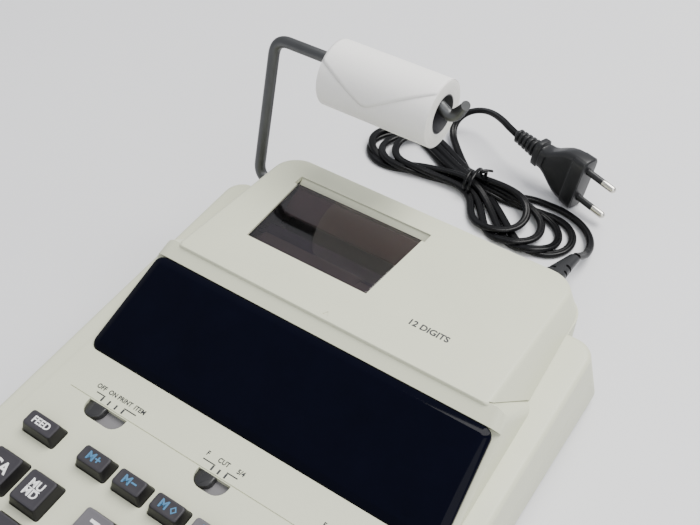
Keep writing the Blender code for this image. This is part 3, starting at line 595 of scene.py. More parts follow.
def sweep_flat(name, line, section):
    """Carries a flat section along a line, its broad side lying level."""
    rings = []
    for i, point in enumerate(line):
        ahead = Vector(line[min(i + 1, len(line) - 1)]) - Vector(line[max(i - 1, 0)])
        side = ahead.cross(Vector((0, 0, 1))).normalized()
        up = side.cross(ahead).normalized()
        here = Vector(point)
        rings.append([here + side * a + up * b for a, b in section])
    return loft(name, rings, 60)


def make_cord():
    route = list(CONNECTOR_LEAD) + bundle_route() + list(PLUG_LEAD)
    line = relax(smooth_route(route))
    line = settle(line, 26, 32)
    cord = sweep_flat("mains_lead", line, cord_section())
    dress(cord, LEAD, "case", ("connector_lead", "cord_hank", "plug_lead"))
    length = float(np.linalg.norm(np.diff(line, axis=0), axis=1).sum()) * MM
    path = [place(p) for p in line]
    return cord, path, length


def make_tie():
    """A thin black tie wrapped twice round the bundle, with its ends twisted together on top."""
    low, high = node_box("cord_tie")
    x = (low[0] + high[0]) / 2
    y = (low[1] + high[1]) / 2
    half_w, top = 9.2, 11.6
    points = []
    for turn in range(2):
        for i in range(20):
            angle = 2 * math.pi * i / 20 + math.pi / 2
            points.append((x - 1.8 + 3.2 * (turn + i / 20), y + half_w * math.cos(angle),
                           top / 2 + 1.4 + (top / 2 - 0.2) * math.sin(angle)))
    points += [(x + 3.4, y + 1.5, top + 1.4), (x + 5.4, y + 4.0, top + 1.8), (x + 8.4, y + 7.0, top + 0.8)]
    line = smooth_route(points, 0.9)
    rings = []
    for i, point in enumerate(line):
        ahead = Vector(line[min(i + 1, len(line) - 1)]) - Vector(line[max(i - 1, 0)])
        side = ahead.cross(Vector((1, 0, 0))).normalized()
        up = side.cross(ahead).normalized()
        rings.append([Vector(point) + side * 0.7 * math.cos(a) + up * 1.1 * math.sin(a)
                      for a in (k * math.pi / 5 for k in range(10))])
    tie = loft("lead_tie", rings, 60)
    return dress(tie, LEAD, "case", ("cord_tie",))


PLUG_YAW = math.radians(-16.6)            # the plug stands on its narrow edge
PLUG_PITCH = math.radians(-5.1)
PLUG_LEAN = math.radians(86.0)
PLUG_REAR = (-14.0, 449.3, 22.0)


def plug_point(along, side, up):
    """A point on the plug: along its axis, across its pins, square to its flat face."""
    axis = Vector((math.cos(PLUG_YAW) * math.cos(PLUG_PITCH), math.sin(PLUG_YAW) * math.cos(PLUG_PITCH),
                   math.sin(PLUG_PITCH)))
    level = Vector((-math.sin(PLUG_YAW), math.cos(PLUG_YAW), 0.0))
    above = axis.cross(level)
    across = level * math.cos(PLUG_LEAN) + above * math.sin(PLUG_LEAN)
    square = above * math.cos(PLUG_LEAN) - level * math.sin(PLUG_LEAN)
    return Vector(PLUG_REAR) + axis * along + across * side + square * up


def super_ring(along, half_w, half_h, power=0.6, count=36, centre=(0.0, 0.0)):
    ring = []
    for i in range(count):
        a = 2 * math.pi * i / count
        side = math.copysign(abs(math.cos(a)) ** power, math.cos(a)) * half_w + centre[0]
        up = math.copysign(abs(math.sin(a)) ** power, math.sin(a)) * half_h + centre[1]
        ring.append(plug_point(along, side, up))
    return ring


PLUG_EDGE = ((22.2, 6.2), (25.0, 6.6), (28.0, 8.2), (32.0, 11.4), (36.0, 14.2), (40.0, 15.8), (45.0, 16.7),
             (50.0, 17.0))


def plug_half_width(along):
    stations, widths = zip(*PLUG_EDGE)
    return float(np.interp(along, stations, widths))


def plug_panel(face):
    """The shallow recess in one flat face of the plug, following its waist."""
    alongs = [25.5 + 1.25 * i for i in range(15)]
    outline = [(a, plug_half_width(a) - 3.4) for a in alongs] + [(a, 3.4 - plug_half_width(a)) for a in alongs[::-1]]
    return loft("panel", [[plug_point(a, side, face * up) for a, side in outline] for up in (5.0, 9.0)])


def make_plug():
    ribs = []
    for i in range(5):
        start = 1.0 + 3.1 * i
        grow = 0.24 * i
        for along, extra in ((0.0, 0.0), (0.45, 1.15), (1.75, 1.15), (2.2, 0.0)):
            ribs.append(super_ring(start + along, 3.1 + grow + extra, 2.6 + grow + extra, 0.85))
    core = [super_ring(-0.4, 2.6, 1.9, 0.9)] + ribs + [
        super_ring(17.0, 4.4, 4.2, 0.8), super_ring(17.5, 8.2, 5.6, 0.5), super_ring(20.6, 8.4, 5.6, 0.5),
        super_ring(21.3, 6.4, 5.3, 0.55)]
    core += [super_ring(a, w, 6.0 if a < 44 else 6.2, 0.42) for a, w in PLUG_EDGE]
    core += [super_ring(51.2, 16.9, 6.1, 0.42), super_ring(51.9, 16.2, 5.5, 0.42)]
    body = loft("plug_body_moulded", core, 40)
    head = loft("plug_head", [super_ring(a, w, h, 0.3) for a, w, h in
                              ((43.4, 15.2, 5.9), (44.0, 16.0, 6.7), (50.8, 16.4, 6.8), (51.6, 15.8, 6.3))], 40)
    cut(body, plug_panel(1), plug_panel(-1))
    add(body, head)
    round_edges(body, 0.35, 2, 40)
    shade(body.data, 34)
    dress(body, MOULDED, "case", ("plug_body",))
    pieces = [body]
    for name, node, side in (("plug_pin_a", "plug_pin_left", 9.3), ("plug_pin_b", "plug_pin_right", -9.3)):
        sleeve = [super_ring(a, r, r, 1.0, 24, (side, 0.0)) for a, r in
                  ((51.2, 2.3), (52.0, 2.1), (52.6, 1.95), (62.0, 1.95), (62.4, 1.85))]
        tip = [super_ring(a, r, r, 1.0, 24, (side, 0.0)) for a, r in
               ((62.2, 1.7), (62.5, 1.98), (69.4, 1.98), (70.3, 1.6), (70.9, 0.9))]
        cover = dress(loft(name + "_sleeve", sleeve, 40), MOULDED, "case", ())
        metal_pin = dress(loft(name, tip, 40), NICKEL, "case", (node,))
        pieces += [cover, metal_pin]
    return pieces


def ring_y(x, y, z, half_w, half_h, power=0.5, count=36):
    """A rounded section across Y."""
    ring = []
    for i in range(count):
        a = 2 * math.pi * i / count
        ring.append((x + math.copysign(abs(math.cos(a)) ** power, math.cos(a)) * half_w, y,
                     z + math.copysign(abs(math.sin(a)) ** power, math.sin(a)) * half_h))
    return ring


def make_connector():
    """The appliance connector: a flat body, a slotted sleeve and the lead coming out of it."""
    x, z, y = 52.0, 17.0, 314.0
    body = loft("connector_body", [
        ring_y(x, y, z, 9.0, 6.2, 0.45), ring_y(x, y + 1.2, z, 9.9, 7.2, 0.45),
        ring_y(x, y + 29.0, z, 9.9, 7.2, 0.45), ring_y(x + 0.1, y + 33.0, z, 8.6, 6.4, 0.55),
        ring_y(x + 0.4, y + 40.0, z - 0.3, 6.6, 4.6, 0.6), ring_y(x + 1.2, y + 49.0, z - 1.2, 5.0, 3.4, 0.7),
        ring_y(x + 2.2, y + 58.0, z - 2.2, 3.9, 2.8, 0.8), ring_y(x + 3.2, y + 66.0, z - 3.2, 3.0, 2.3, 0.9)], 40)
    for i in range(4):
        at = y + 36.5 + 5.4 * i
        inner = 1.4
        for side in (-1, 1):
            edge = x + 0.6 * i + side * inner * (1 if (i % 2) == (side > 0) else 2.2)
            span = (min(edge, edge + side * 12.0), max(edge, edge + side * 12.0))
            cut(body, block("slot", span, (at, at + 1.7), (z - 12.0, z + 9.0)))
    shade(body.data, 34)
    return dress(body, MOULDED, "case", ("cord_connector",))


lead, lead_path, lead_length = make_cord()
tie = make_tie()
plug_pieces = make_plug()
connector = make_connector()


# ================================================================ case
def rear_y(z):
    share = (z - 3.0) / (deck_z(293.0) - 3.0)
    return 318.0 - 25.0 * share


def split_z(y):
    return 10.0 + 0.055 * y


def case_shell(name, radius=9.0):
    """The whole outer case with a soft edge round the rails."""
    rings = []
    fillet = 2.6
    for step in range(4):
        angle = math.radians(90 * step / 3)
        out = 1.6 * (1 - math.sin(angle))
        z = 3.0 + 1.6 * (1 - math.cos(angle))
        rings.append(rounded_ring(-98.5 + out, 98.5 - out, 2.2 + out, rear_y(z) - out, radius,
                                  lambda x, y, z=z: z))
    for step in range(7):
        angle = math.radians(90 * step / 6)
        out = fillet * (1 - math.cos(angle))
        drop = fillet * (1 - math.sin(angle))
        rear = rear_y(deck_z(293.0) - fillet)
        rings.append(rounded_ring(-97.0 + out, 97.0 - out, out, rear - out, radius,
                                  lambda x, y, drop=drop: deck_z(y) - drop))
    return loft(name, rings)


def bay_shell(name):
    return loft(name, [
        rounded_ring(-83.0, 83.0, 262.0, 313.0, 12.0, lambda x, y: 14.0),
        rounded_ring(-83.0, 83.0, 262.0, 313.0, 12.0, lambda x, y: deck_z(y) - 0.3)])


def hood_shell(name):
    outline = [(182.0, 25.0), slope_point(4.0, -LENS_T - GAP), slope_point(RUN + 0.25, -LENS_T - GAP),
               slope_point(RUN + 0.25, -0.15), (230.2, 65.6), (254.6, deck_z(254.6)), (254.6, 25.0)]
    hood = side_prism(name, outline, lambda z: 87.4 - 0.155 * (z - 44.0))
    work = bmesh.new()
    work.from_mesh(hood.data)
    behind_lens = FRONT + (LENS_TOP - 2.0) * MM
    rims = [e for e in work.edges if abs(e.verts[0].co.x - e.verts[1].co.x) < 0.01
            and all(v.co.z > 0.03 and v.co.y > behind_lens for v in e.verts)
            and abs(e.verts[0].co.y - e.verts[1].co.y) > 0.002]
    bmesh.ops.bevel(work, geom=rims, offset=5.0 * MM, segments=6, profile=0.5, affect="EDGES")
    work.to_mesh(hood.data)
    work.free()
    return hood


def lens_outline(grow, inset=0.0):
    """Rounded trapezoid on the slope: (x, along)."""
    radius = max(1.2, 4.2 - inset)
    corners = ((-86.0 + inset - grow, inset - grow, 180), (86.0 - inset + grow, inset - grow, 270),
               (83.2 - inset + grow, RUN - inset + grow, 0), (-83.2 + inset - grow, RUN - inset + grow, 90))
    out = []
    for x, along, start in corners:
        ox = x + radius if x < 0 else x - radius
        oa = along + radius if along < RUN / 2 else along - radius
        for i in range(7):
            angle = math.radians(start + 90 * i / 6)
            out.append((ox + radius * math.cos(angle), oa + radius * math.sin(angle)))
    return out


def slope_ring(outline, off):
    return [(x, *slope_point(along, off)) for x, along in outline]


def make_lens():
    """The display lens: a slab with a wide bevel along its edges."""
    rings = [slope_ring(lens_outline(0.0, 0.4), -LENS_T), slope_ring(lens_outline(0.0), -LENS_T + 0.4),
             slope_ring(lens_outline(0.0), -0.9), slope_ring(lens_outline(0.0, 0.35), -0.35),
             slope_ring(lens_outline(0.0, 0.8), -0.05), slope_ring(lens_outline(0.0, 3.3), 0.95),
             slope_ring(lens_outline(0.0, 3.7), 1.04), slope_ring(lens_outline(0.0, 4.3), 1.08)]
    lens = loft("lens_panel", rings, 12)
    return dress(lens, LENS, "case", ("display_lens",))


def deck_ring(x0, x1, y0, y1, radius, lift, steps=4, sag=0.0):
    """A rounded rectangle square to the deck at the middle of its depth."""
    mid = (y0 + y1) / 2
    ring = []
    for x, y, _ in rounded_ring(x0, x1, y0, y1, radius, lambda x, y: 0.0, steps):
        along = y - mid
        ring.append((x, mid + along * math.cos(TILT) - lift * math.sin(TILT),
                     deck_z(mid) + along * math.sin(TILT) + lift * math.cos(TILT)))
    return ring


KEY_PROUD = 5.6
KEY_STEM = 5.0
KEY_DEPTHS = (9.0, 15.4, 34.8)             # small, large and tall keys


def key_nodes():
    """Every key with its footprint at the deck: name, x range, y range."""
    found = {}
    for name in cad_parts:
        if name.endswith("_key"):
            low, high = node_box(name)
            span = high[1] - low[1]
            depth = next(d for d in KEY_DEPTHS if span < d + 3.0)
            rear = high[1] - KEY_STEM * math.sin(TILT)
            mid_y = rear - depth / 2 * math.cos(TILT)
            found[name] = ((low[0], high[0]), (mid_y - depth / 2, mid_y + depth / 2))
    return found


KEYS = key_nodes()
SLOTS = {"mode_switch_knob": (-67.0, -46.6), "rounding_switch_knob": (-8.9, 6.8), "decimal_switch_knob": (46.4, 66.8)}
SLOT_Y = (152.6, 159.8)


def slot_outline(left, right, lift):
    """A switch slot: straight along its rear edge, its two front corners round."""
    points = [(left, SLOT_Y[1] - 0.2), (right, SLOT_Y[1] - 0.2)]
    radius = 5.4
    for i in range(7):
        angle = math.radians(0 - 90 * i / 6)
        points.append((right - radius + radius * math.cos(angle), SLOT_Y[0] + radius + radius * math.sin(angle)))
    for i in range(7):
        angle = math.radians(-90 - 90 * i / 6)
        points.append((left + radius + radius * math.cos(angle), SLOT_Y[0] + radius + radius * math.sin(angle)))
    mid = sum(SLOT_Y) / 2
    ring = []
    for x, y in points:
        along = y - mid
        ring.append((x, mid + along * math.cos(TILT) - lift * math.sin(TILT),
                     deck_z(mid) + along * math.sin(TILT) + lift * math.cos(TILT)))
    return ring


def make_case():
    case = case_shell("upper_case_shell")
    add(case, bay_shell("bay"), hood_shell("hood"))
    high = [(-20.0, split_z(-20.0) + 0.15), (360.0, split_z(360.0) + 0.15), (360.0, -50.0), (-20.0, -50.0)]
    cut(case, side_prism("keep_high", high, lambda z: 130.0))
    inner = loft("inner", [rounded_ring(-94.5, 94.5, 3.5, 315.0, 6.0, lambda x, y: 3.0),
                           rounded_ring(-94.5, 94.5, 3.5, 291.0, 6.0, lambda x, y: deck_z(y) - 2.5)])
    cut(case, inner)
    cut(case, loft("inner_bay", [rounded_ring(-80.5, 80.5, 265.0, 310.5, 9.0, lambda x, y: 5.0),
                                 rounded_ring(-80.5, 80.5, 265.0, 310.5, 9.0, lambda x, y: deck_z(y) - 2.9)]))
    hollow = [(186.0, 20.0), slope_point(8.0, -LENS_T - 2.6), slope_point(RUN - 1.0, -LENS_T - 2.6),
              (228.0, 59.6), (230.6, 61.6), (249.5, 44.0), (249.5, 20.0)]
    cut(case, side_prism("hollow", hollow, lambda z: 84.8 - 0.155 * (z - 44.0)))
    seat = [slope_ring(lens_outline(0.15), -LENS_T - GAP), slope_ring(lens_outline(0.15), 26.0)]
    cut(case, loft("lens_seat", seat))
    cut(case, block("printer_well", (-72.0, 72.0), (248.0, 304.0), (30.0, 90.0)))
    for (x0, x1), (y0, y1) in KEYS.values():
        hole = [deck_ring(x0 - 0.35, x1 + 0.35, y0 - 0.35, y1 + 0.35, 1.3, lift) for lift in (-9.0, 9.0)]
        cut(case, loft("key_hole", hole))
    for left, right in SLOTS.values():
        cut(case, loft("slot", [slot_outline(left, right, lift) for lift in (-9.0, 9.0)]))
    groove = [deck_ring(-78.5, 78.5, 159.75, 160.25, 0.05, lift, 1) for lift in (-0.35, 2.0)]
    cut(case, loft("groove", groove))
    bore = [[(x, 306.5 + 3.1 * math.cos(a), 46.0 + 3.1 * math.sin(a)) for a in
             (k * math.pi / 12 for k in range(24))] for x in (-90.0, -70.0)]
    cut(case, loft("holder_bore", bore))
    round_edges(case, 0.35, 2, 40, bake=False)
    shade(case.data, 30)
    return dress(case, IVORY, "case", ("upper_case",))


def make_lower_case():
    case = case_shell("lower_case_shell")
    add(case, bay_shell("bay"))
    low = [(-20.0, split_z(-20.0) - 0.15), (360.0, split_z(360.0) - 0.15), (360.0, 200.0), (-20.0, 200.0)]
    cut(case, side_prism("keep_low", low, lambda z: 130.0))
    wall = 2.5
    cut(case, loft("inner", [rounded_ring(-95.5, 95.5, 5.0, rear_y(5.5) - wall, 6.0, lambda x, y: 5.5),
                             rounded_ring(-95.0, 95.0, 4.0, rear_y(45.0) - wall, 6.0, lambda x, y: 45.0)]))
    cut(case, loft("inner_bay", [rounded_ring(-80.5, 80.5, 264.5, 310.5, 9.5, lambda x, y, z=z: z)
                                 for z in (16.5, 60.0)]))
    cut(case, block("inlet_hole", (40.7, 63.3), (300.0, 330.0), (9.7, 24.3)))
    round_edges(case, 0.4, 2, 40, bake=False)
    shade(case.data, 30)
    return dress(case, IVORY, "case", ("lower_case",))


def cover_top(x, y):
    share = (y - 228.6) / (313.0 - 228.6)
    return 66.2 - 2.0 * share


def cover_shell(name):
    rings = [rounded_ring(-85.8, 85.8, 228.6, 314.0, 12.0, lambda x, y: 44.0, front_radius=2.6)]
    fillet = 1.6
    for step in range(7):
        angle = math.radians(90 * step / 6)
        out = fillet * (1 - math.cos(angle))
        drop = fillet * (1 - math.sin(angle))
        flare = 0.42 * drop
        rings.append(rounded_ring(-76.9 + out - flare, 76.9 - out + flare, 228.6 + 0.3 * out, 312.8 - out,
                                  12.0, lambda x, y, drop=drop: cover_top(x, y) - drop, front_radius=2.6))
    return loft(name, rings)


def window_ring(grow, shift):
    front, rear = 251.7 - grow, 295.4 + grow
    corners = ((-56.0 - grow, front), (6.6 + grow, front), (8.4 + grow, rear), (-59.8 - grow, rear))
    return [(x, y, cover_top(x, y) + shift) for x, y in corners]


def make_cover():
    cover = cover_shell("cover_shell")
    inner = loft("inner", [rounded_ring(-83.4, 83.4, 230.8, 311.6, 10.0, lambda x, y: 40.0),
                           rounded_ring(-74.6, 74.6, 230.8, 310.0, 10.0, lambda x, y: cover_top(x, y) - 2.2)])
    cut(cover, inner)
    below = [(200.0, 0.0), (340.0, 0.0), (340.0, deck_z(340.0) + GAP), (200.0, deck_z(200.0) + GAP)]
    cut(cover, side_prism("below", below, lambda z: 130.0))
    hood = [(182.0, 25.0), (182.0, 40.0), (224.0, 60.7), (230.4, 65.95), (255.0, deck_z(254.6) + 0.1), (255.0, 25.0)]
    cut(cover, side_prism("hood", hood, lambda z: 87.8 - 0.155 * (z - 44.0)))
    cut(cover, loft("window_hole", [window_ring(0.3, -9.0), window_ring(0.3, 8.0)]))
    cut(cover, block("paper_slot", (-61.6, 10.2), (294.4, 300.4), (56.0, 80.0)))
    latch = [(-1.2, 231.2), (1.4, 231.2), (0.1, 233.6)]
    cut(cover, loft("latch_mark", [[(x, y, cover_top(x, y) + s) for x, y in latch] for s in (-0.3, 2.0)]))
    round_edges(cover, 0.45, 3, 38, bake=False)
    shade(cover.data, 30)
    return dress(cover, IVORY, "cover", ("printer_cover",))


def make_window():
    pane = loft("window_pane", [window_ring(0.0, -2.4), window_ring(0.0, -0.4)])
    round_edges(pane, 0.3, 2, 30)
    dress(pane, SMOKE, "cover", ("cover_window",))

    def shelf(name, profile, x, finish):
        """A thin plate under the window: its (y, z) edge line, carried across."""
        rings = [[(end, y, z) for y, z in profile] + [(end, y, z - 1.0) for y, z in profile[::-1]] for end in x]
        made = loft(name, rings)
        round_edges(made, 0.25, 2, 30)
        return dress(made, finish, "cover", ())

    shelf("tear_bar", [(282.5, 55.0), (286.0, 58.0), (294.9, 61.2)], (-59.2, 7.8), GUIDE)
    shelf("print_mask", [(253.2, 60.6), (264.5, 57.0), (266.5, 54.0)], (-56.0, -3.0), MASK)
    shelf("print_mask_side", [(253.2, 60.6), (261.5, 58.0), (263.0, 55.0)], (-2.6, 6.4), MASK)
    shelf("paper_slot_lip", [(296.9, 60.2), (300.6, 63.6)], (-61.4, 10.0), IVORY)


make_case()
make_lower_case()
make_lens()
make_cover()
make_window()


# ================================================================ keys, knobs and legends
def text_mesh(name, words, size, finish, spacing=1.0, width=1.0, depth=0.05):
    """Flat lettering as a mesh in its own plane, centred, in millimetres."""
    curve = bpy.data.curves.new(name, "FONT")
    curve.body = words
    curve.size = size
    curve.extrude = depth
    curve.offset = 0.026 * size
    curve.align_x = "CENTER"
    curve.align_y = "CENTER"
    curve.space_character = spacing
    curve.space_line = 0.82
    holder = bpy.data.objects.new(name, curve)
    bpy.context.scene.collection.objects.link(holder)
    mesh = evaluated(holder)
    bpy.data.objects.remove(holder)
    for vertex in mesh.vertices:
        vertex.co.x *= width
    made = link(name, mesh)
    made.data.materials.clear()
    made.data.materials.append(finish)
    return made


def flat_mark(name, outer, inner, finish, depth=0.05):
    """A thin outline between two rings of points, or a filled shape without the inner one."""
    work = bmesh.new()
    levels = [[[work.verts.new((x, y, z)) for x, y in ring] for ring in (outer, inner) if ring]
              for z in (-depth, depth)]
    count = len(outer)
    for i in range(count):
        j = (i + 1) % count
        for k in range(len(levels[0])):
            work.faces.new((levels[0][k][i], levels[0][k][j], levels[1][k][j], levels[1][k][i]))
        if inner:
            for level in levels:
                work.faces.new((level[0][i], level[0][j], level[1][j], level[1][i]))
    if not inner:
        for level in levels:
            work.faces.new(level[0])
    bmesh.ops.recalc_face_normals(work, faces=work.faces)
    mesh = bpy.data.meshes.new(name)
    work.to_mesh(mesh)
    work.free()
    made = link(name, mesh)
    made.data.materials.append(finish)
    return made


def diamond(name, x, y, radius, finish):
    def ring(r):
        return [(x + r * 0.85, y), (x, y + r), (x - r * 0.85, y), (x, y - r)]
    return flat_mark(name, ring(radius), ring(radius - 0.75), finish)


def bar(name, length, width, finish):
    half, thin = length / 2, width / 2
    return flat_mark(name, [(-half, -thin), (half, -thin), (half, thin), (-half, thin)], None, finish)


def lay_on(obj, origin, normal_tilt, turn=0.0):
    """Carries flat lettering in millimetres onto a tilted face whose middle is origin."""
    matrix = (Matrix.Translation(place(origin)) @ Matrix.Rotation(normal_tilt, 4, "X")
              @ Matrix.Rotation(turn, 4, "Z") @ Matrix.Scale(MM, 4))
    obj.data.transform(matrix)
    return obj


LEGENDS = {
    "feed_key": ("FEED", 4.1, "white"), "memory_plus_key": ("M+", 5.0, "blue"),
    "memory_minus_key": ("M−", 5.0, "blue"), "memory_subtotal_key": ("M", 5.0, "blue"),
    "memory_total_key": ("M*", 5.0, "blue"), "clear_all_key": ("CA", 6.6, "white"),
    "mark_up_key": ("MU\nMD", 4.6, "white"), "clear_key": ("C", 7.2, "white"), "percent_key": ("%", 7.0, "white"),
    "decimal_point_key": ("·", 13.0, "white"), "divide_key": ("÷", 9.4, "white"),
    "multiply_key": ("×", 9.4, "white"), "minus_key": ("−", 10.0, "white"),
    "plus_key": ("+", 10.0, "white"), "equals_key": ("=", 10.0, "white"),
}
for digit in range(10):
    LEGENDS[f"digit_{digit}_key"] = (str(digit), 8.4, "white")
GREY_KEYS = {"memory_total_key", "decimal_point_key"} | {f"digit_{d}_key" for d in range(10)}
KEY_DISH = 0.12


def make_key(name, x, y):
    """A key: straight skirt, sloping flanks, a rounded rim and a dished top."""
    grey = name in GREY_KEYS
    levels = [(0.0, -KEY_STEM, 1.0), (0.0, 0.45, 1.0), (0.12, 0.75, 1.0), (0.85, KEY_PROUD - 1.0, 1.2),
              (1.0, KEY_PROUD - 0.45, 1.3), (1.25, KEY_PROUD - 0.12, 1.3), (1.6, KEY_PROUD, 1.2),
              (2.1, KEY_PROUD - 0.03, 1.0), (2.7, KEY_PROUD - KEY_DISH, 0.8), (3.6, KEY_PROUD - KEY_DISH, 0.4)]
    rings = [deck_ring(x[0] + i, x[1] - i, y[0] + i, y[1] - i, r, lift) for i, lift, r in levels]
    key = loft(name + "_cap", rings, 28)
    top = GREY_KEY if grey else DARK_KEY
    key.data.materials.append(top)
    key.data.materials.append(KEY_SIDE_SHADE)
    mid = (y[0] + y[1]) / 2
    # faces not turned up from the deck get the near-black side material: painted shade on the key's sides, grey keys
    # included
    for face in key.data.polygons:
        normal = face.normal
        leaning = normal.z * math.cos(TILT) - normal.y * math.sin(TILT)
        face.material_index = 0 if leaning > 0.45 else 1
    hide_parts(name)
    body = name.replace("_key", "_button")
    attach(key, body)
    words, size, tone = LEGENDS[name]
    legend = text_mesh(name + "_legend", words, size, WHITE_INK if tone == "white" else BLUE_INK)
    lift = KEY_PROUD - KEY_DISH + 0.03
    origin = ((x[0] + x[1]) / 2, mid - lift * math.sin(TILT), deck_z(mid) + lift * math.cos(TILT))
    marks = [legend]
    if name == "memory_subtotal_key":
        marks.append(diamond(name + "_diamond", 3.0, 0.1, 1.75, BLUE_INK))
        legend.data.transform(Matrix.Translation((-1.7, 0.0, 0.0)))
    if name == "mark_up_key":
        marks.append(bar(name + "_bar", 6.6, 0.4, WHITE_INK))
    for mark in marks:
        lay_on(mark, origin, TILT)
        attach(mark, body)


for key_name, (key_x, key_y) in KEYS.items():
    make_key(key_name, key_x, key_y)


def make_switch(name, left, right):
    """A slide switch: a grey dust plate and a black knob with three facets."""
    low, high = node_box(name)
    plate_low = -3.3
    plate = loft(name + "_plate", [deck_ring(low[0] + 0.1, high[0] - 0.1, SLOT_Y[0] - 1.5, SLOT_Y[1] + 1.5, 0.6, lift)
                                   for lift in (plate_low, plate_low + 0.9)])
    body = name.replace("_switch_knob", "_switch")
    dress(plate, SWITCH_GREY, body, (name,))
    width = {"mode_switch": 9.6, "rounding_switch": 8.4, "decimal_switch": 8.4}[body]
    start = left + 0.35
    end = start + width
    rings = []
    for inset, lift in ((0.0, -2.4), (0.0, 0.1), (0.25, 0.5), (0.7, 0.7)):
        outline = []
        y0, y1 = SLOT_Y[0] + 0.3 + inset, SLOT_Y[1] - 0.4 - inset
        cut_corner = 2.6
        points = [(start + inset, y1), (end - inset, y1), (end - inset, y0 + cut_corner + 1.0),
                  (end - inset - 0.8, y0 + cut_corner - 0.6), (end - inset - cut_corner - 1.0, y0),
                  (start + inset + cut_corner + 1.0, y0), (start + inset + 0.8, y0 + cut_corner - 0.6),
                  (start + inset, y0 + cut_corner + 1.0)]
        mid = sum(SLOT_Y) / 2
        for px, py in points:
            along = py - mid
            outline.append((px, mid + along * math.cos(TILT) - lift * math.sin(TILT),
                            deck_z(mid) + along * math.sin(TILT) + lift * math.cos(TILT)))
        rings.append(outline)
    knob = loft(name + "_grip", rings, 25)
    facet = [(start - 1.0, SLOT_Y[0] - 1.0), (start + 0.50 * width, SLOT_Y[0] - 1.0),
             (start + 0.34 * width, SLOT_Y[1] + 1.0), (start - 1.0, SLOT_Y[1] + 1.0)]
    slant = [[(px, py, deck_z(py) + (4.0 if high else 0.55 - (start + 0.4 * width - px) * 0.42))
              for px, py in facet] for high in (False, True)]
    cut(knob, loft("facet", slant))
    round_edges(knob, 0.2, 2, 22)
    dress(knob, SWITCH, body, ())


for switch_name, (slot_left, slot_right) in SLOTS.items():
    make_switch(switch_name, slot_left, slot_right)


def deck_text(words, x, y, size, turn=0.0, width=0.9):
    label = text_mesh("deck_legend", words, size, DARK_INK, 1.05, width, 0.055)
    lay_on(label, (x, y, deck_z(y) + 0.03), TILT, turn)
    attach(label, "case")


def tick(x, y, length, turn=0.0, width=0.5):
    """A short printed line on the deck."""
    half = length / 2
    c, s = math.cos(turn), math.sin(turn)
    corners = [(x + c * a - s * b, y + s * a + c * b) for a, b in
               ((-half, -width / 2), (half, -width / 2), (half, width / 2), (-half, width / 2))]
    line = loft("deck_tick", [[(px, py, deck_z(py) + h) for px, py in corners] for h in (-0.03, 0.05)])
    dress(line, DARK_INK, "case", ())


def switch_legend(words, left, right, positions):
    """Position names above a slot, with a tick at each position and brackets at the outer two."""
    count = len(words)
    for i, (word, x) in enumerate(zip(words, positions)):
        inside = left + 4.6 + (right - left - 9.2) * i / (count - 1)
        tick(inside, 161.9, 2.2, math.pi / 2, 0.85)
        deck_text(word, x, 166.1, 2.9)
        if i in (0, count - 1):
            tick((inside + x) / 2, 163.4, abs(x - inside) + 0.8)


switch_legend(("OFF", "ON", "PRINT", "ITEM"), -67.0, -46.6, (-66.4, -60.2, -53.6, -45.6))
switch_legend(("F", "CUT", "5/4"), -8.9, 6.8, (-9.6, -1.8, 6.6))
switch_legend(("F", "3", "2", "1", "0"), 46.4, 66.8, (45.6, 51.4, 56.6, 61.8, 67.8))

digits_label = text_mesh("cover_legend", "12 DIGITS", 4.4, DARK_INK, 1.0, 1.0, 0.05)
cover_tilt = math.atan(-2.0 / 84.4)
lay_on(digits_label, (39.0, 248.4, cover_top(0, 248.4) + 0.03), cover_tilt)
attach(digits_label, "cover")


# ================================================================ roll and holder
ARM = (324.0, 117.0)
ROLL = (324.0, 111.3)
ROLL_X = (-59.6, -2.6)
WIRE_R = 2.8


def x_ring(x, centre, radius, count=96):
    return [(x, centre[0] + radius * math.cos(2 * math.pi * i / count),
             centre[1] + radius * math.sin(2 * math.pi * i / count)) for i in range(count)]


def make_roll():
    outer, hole = 15.6, 8.8
    rings = [x_ring(ROLL_X[0], ROLL, hole + 0.5), x_ring(ROLL_X[0], ROLL, outer - 0.35),
             x_ring(ROLL_X[0] + 0.12, ROLL, outer - 0.08), x_ring(ROLL_X[0] + 0.4, ROLL, outer),
             x_ring(ROLL_X[1] - 0.4, ROLL, outer), x_ring(ROLL_X[1] - 0.12, ROLL, outer - 0.08),
             x_ring(ROLL_X[1], ROLL, outer - 0.35), x_ring(ROLL_X[1], ROLL, hole + 0.5),
             x_ring(ROLL_X[1], ROLL, hole + 0.5)]
    work_rings = rings[:-1] + [rings[0]]
    roll = loft("paper_roll_wound", work_rings, 40, caps=False)
    bm = bmesh.new()
    bm.from_mesh(roll.data)
    bmesh.ops.remove_doubles(bm, verts=bm.verts, dist=1e-6)
    bmesh.ops.recalc_face_normals(bm, faces=bm.faces)
    bm.to_mesh(roll.data)
    bm.free()
    roll.data.materials.append(PAPER)
    roll.data.materials.append(PAPER_EDGE)
    for face in roll.data.polygons:
        face.material_index = 1 if abs(face.normal.x) > 0.9 else 0
    shade(roll.data, 30)
    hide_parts("paper_roll")
    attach(roll, "roll")
    core_rings = [x_ring(ROLL_X[0] - 0.0, ROLL, hole), x_ring(ROLL_X[0], ROLL, hole + 0.45),
                  x_ring(ROLL_X[1], ROLL, hole + 0.45), x_ring(ROLL_X[1], ROLL, hole), x_ring(ROLL_X[0], ROLL, hole)]
    core = loft("roll_core_tube", core_rings, 40, caps=False)
    bm = bmesh.new()
    bm.from_mesh(core.data)
    bmesh.ops.remove_doubles(bm, verts=bm.verts, dist=1e-6)
    bmesh.ops.recalc_face_normals(bm, faces=bm.faces)
    bm.to_mesh(core.data)
    bm.free()
    dress(core, CORE, "roll", ())


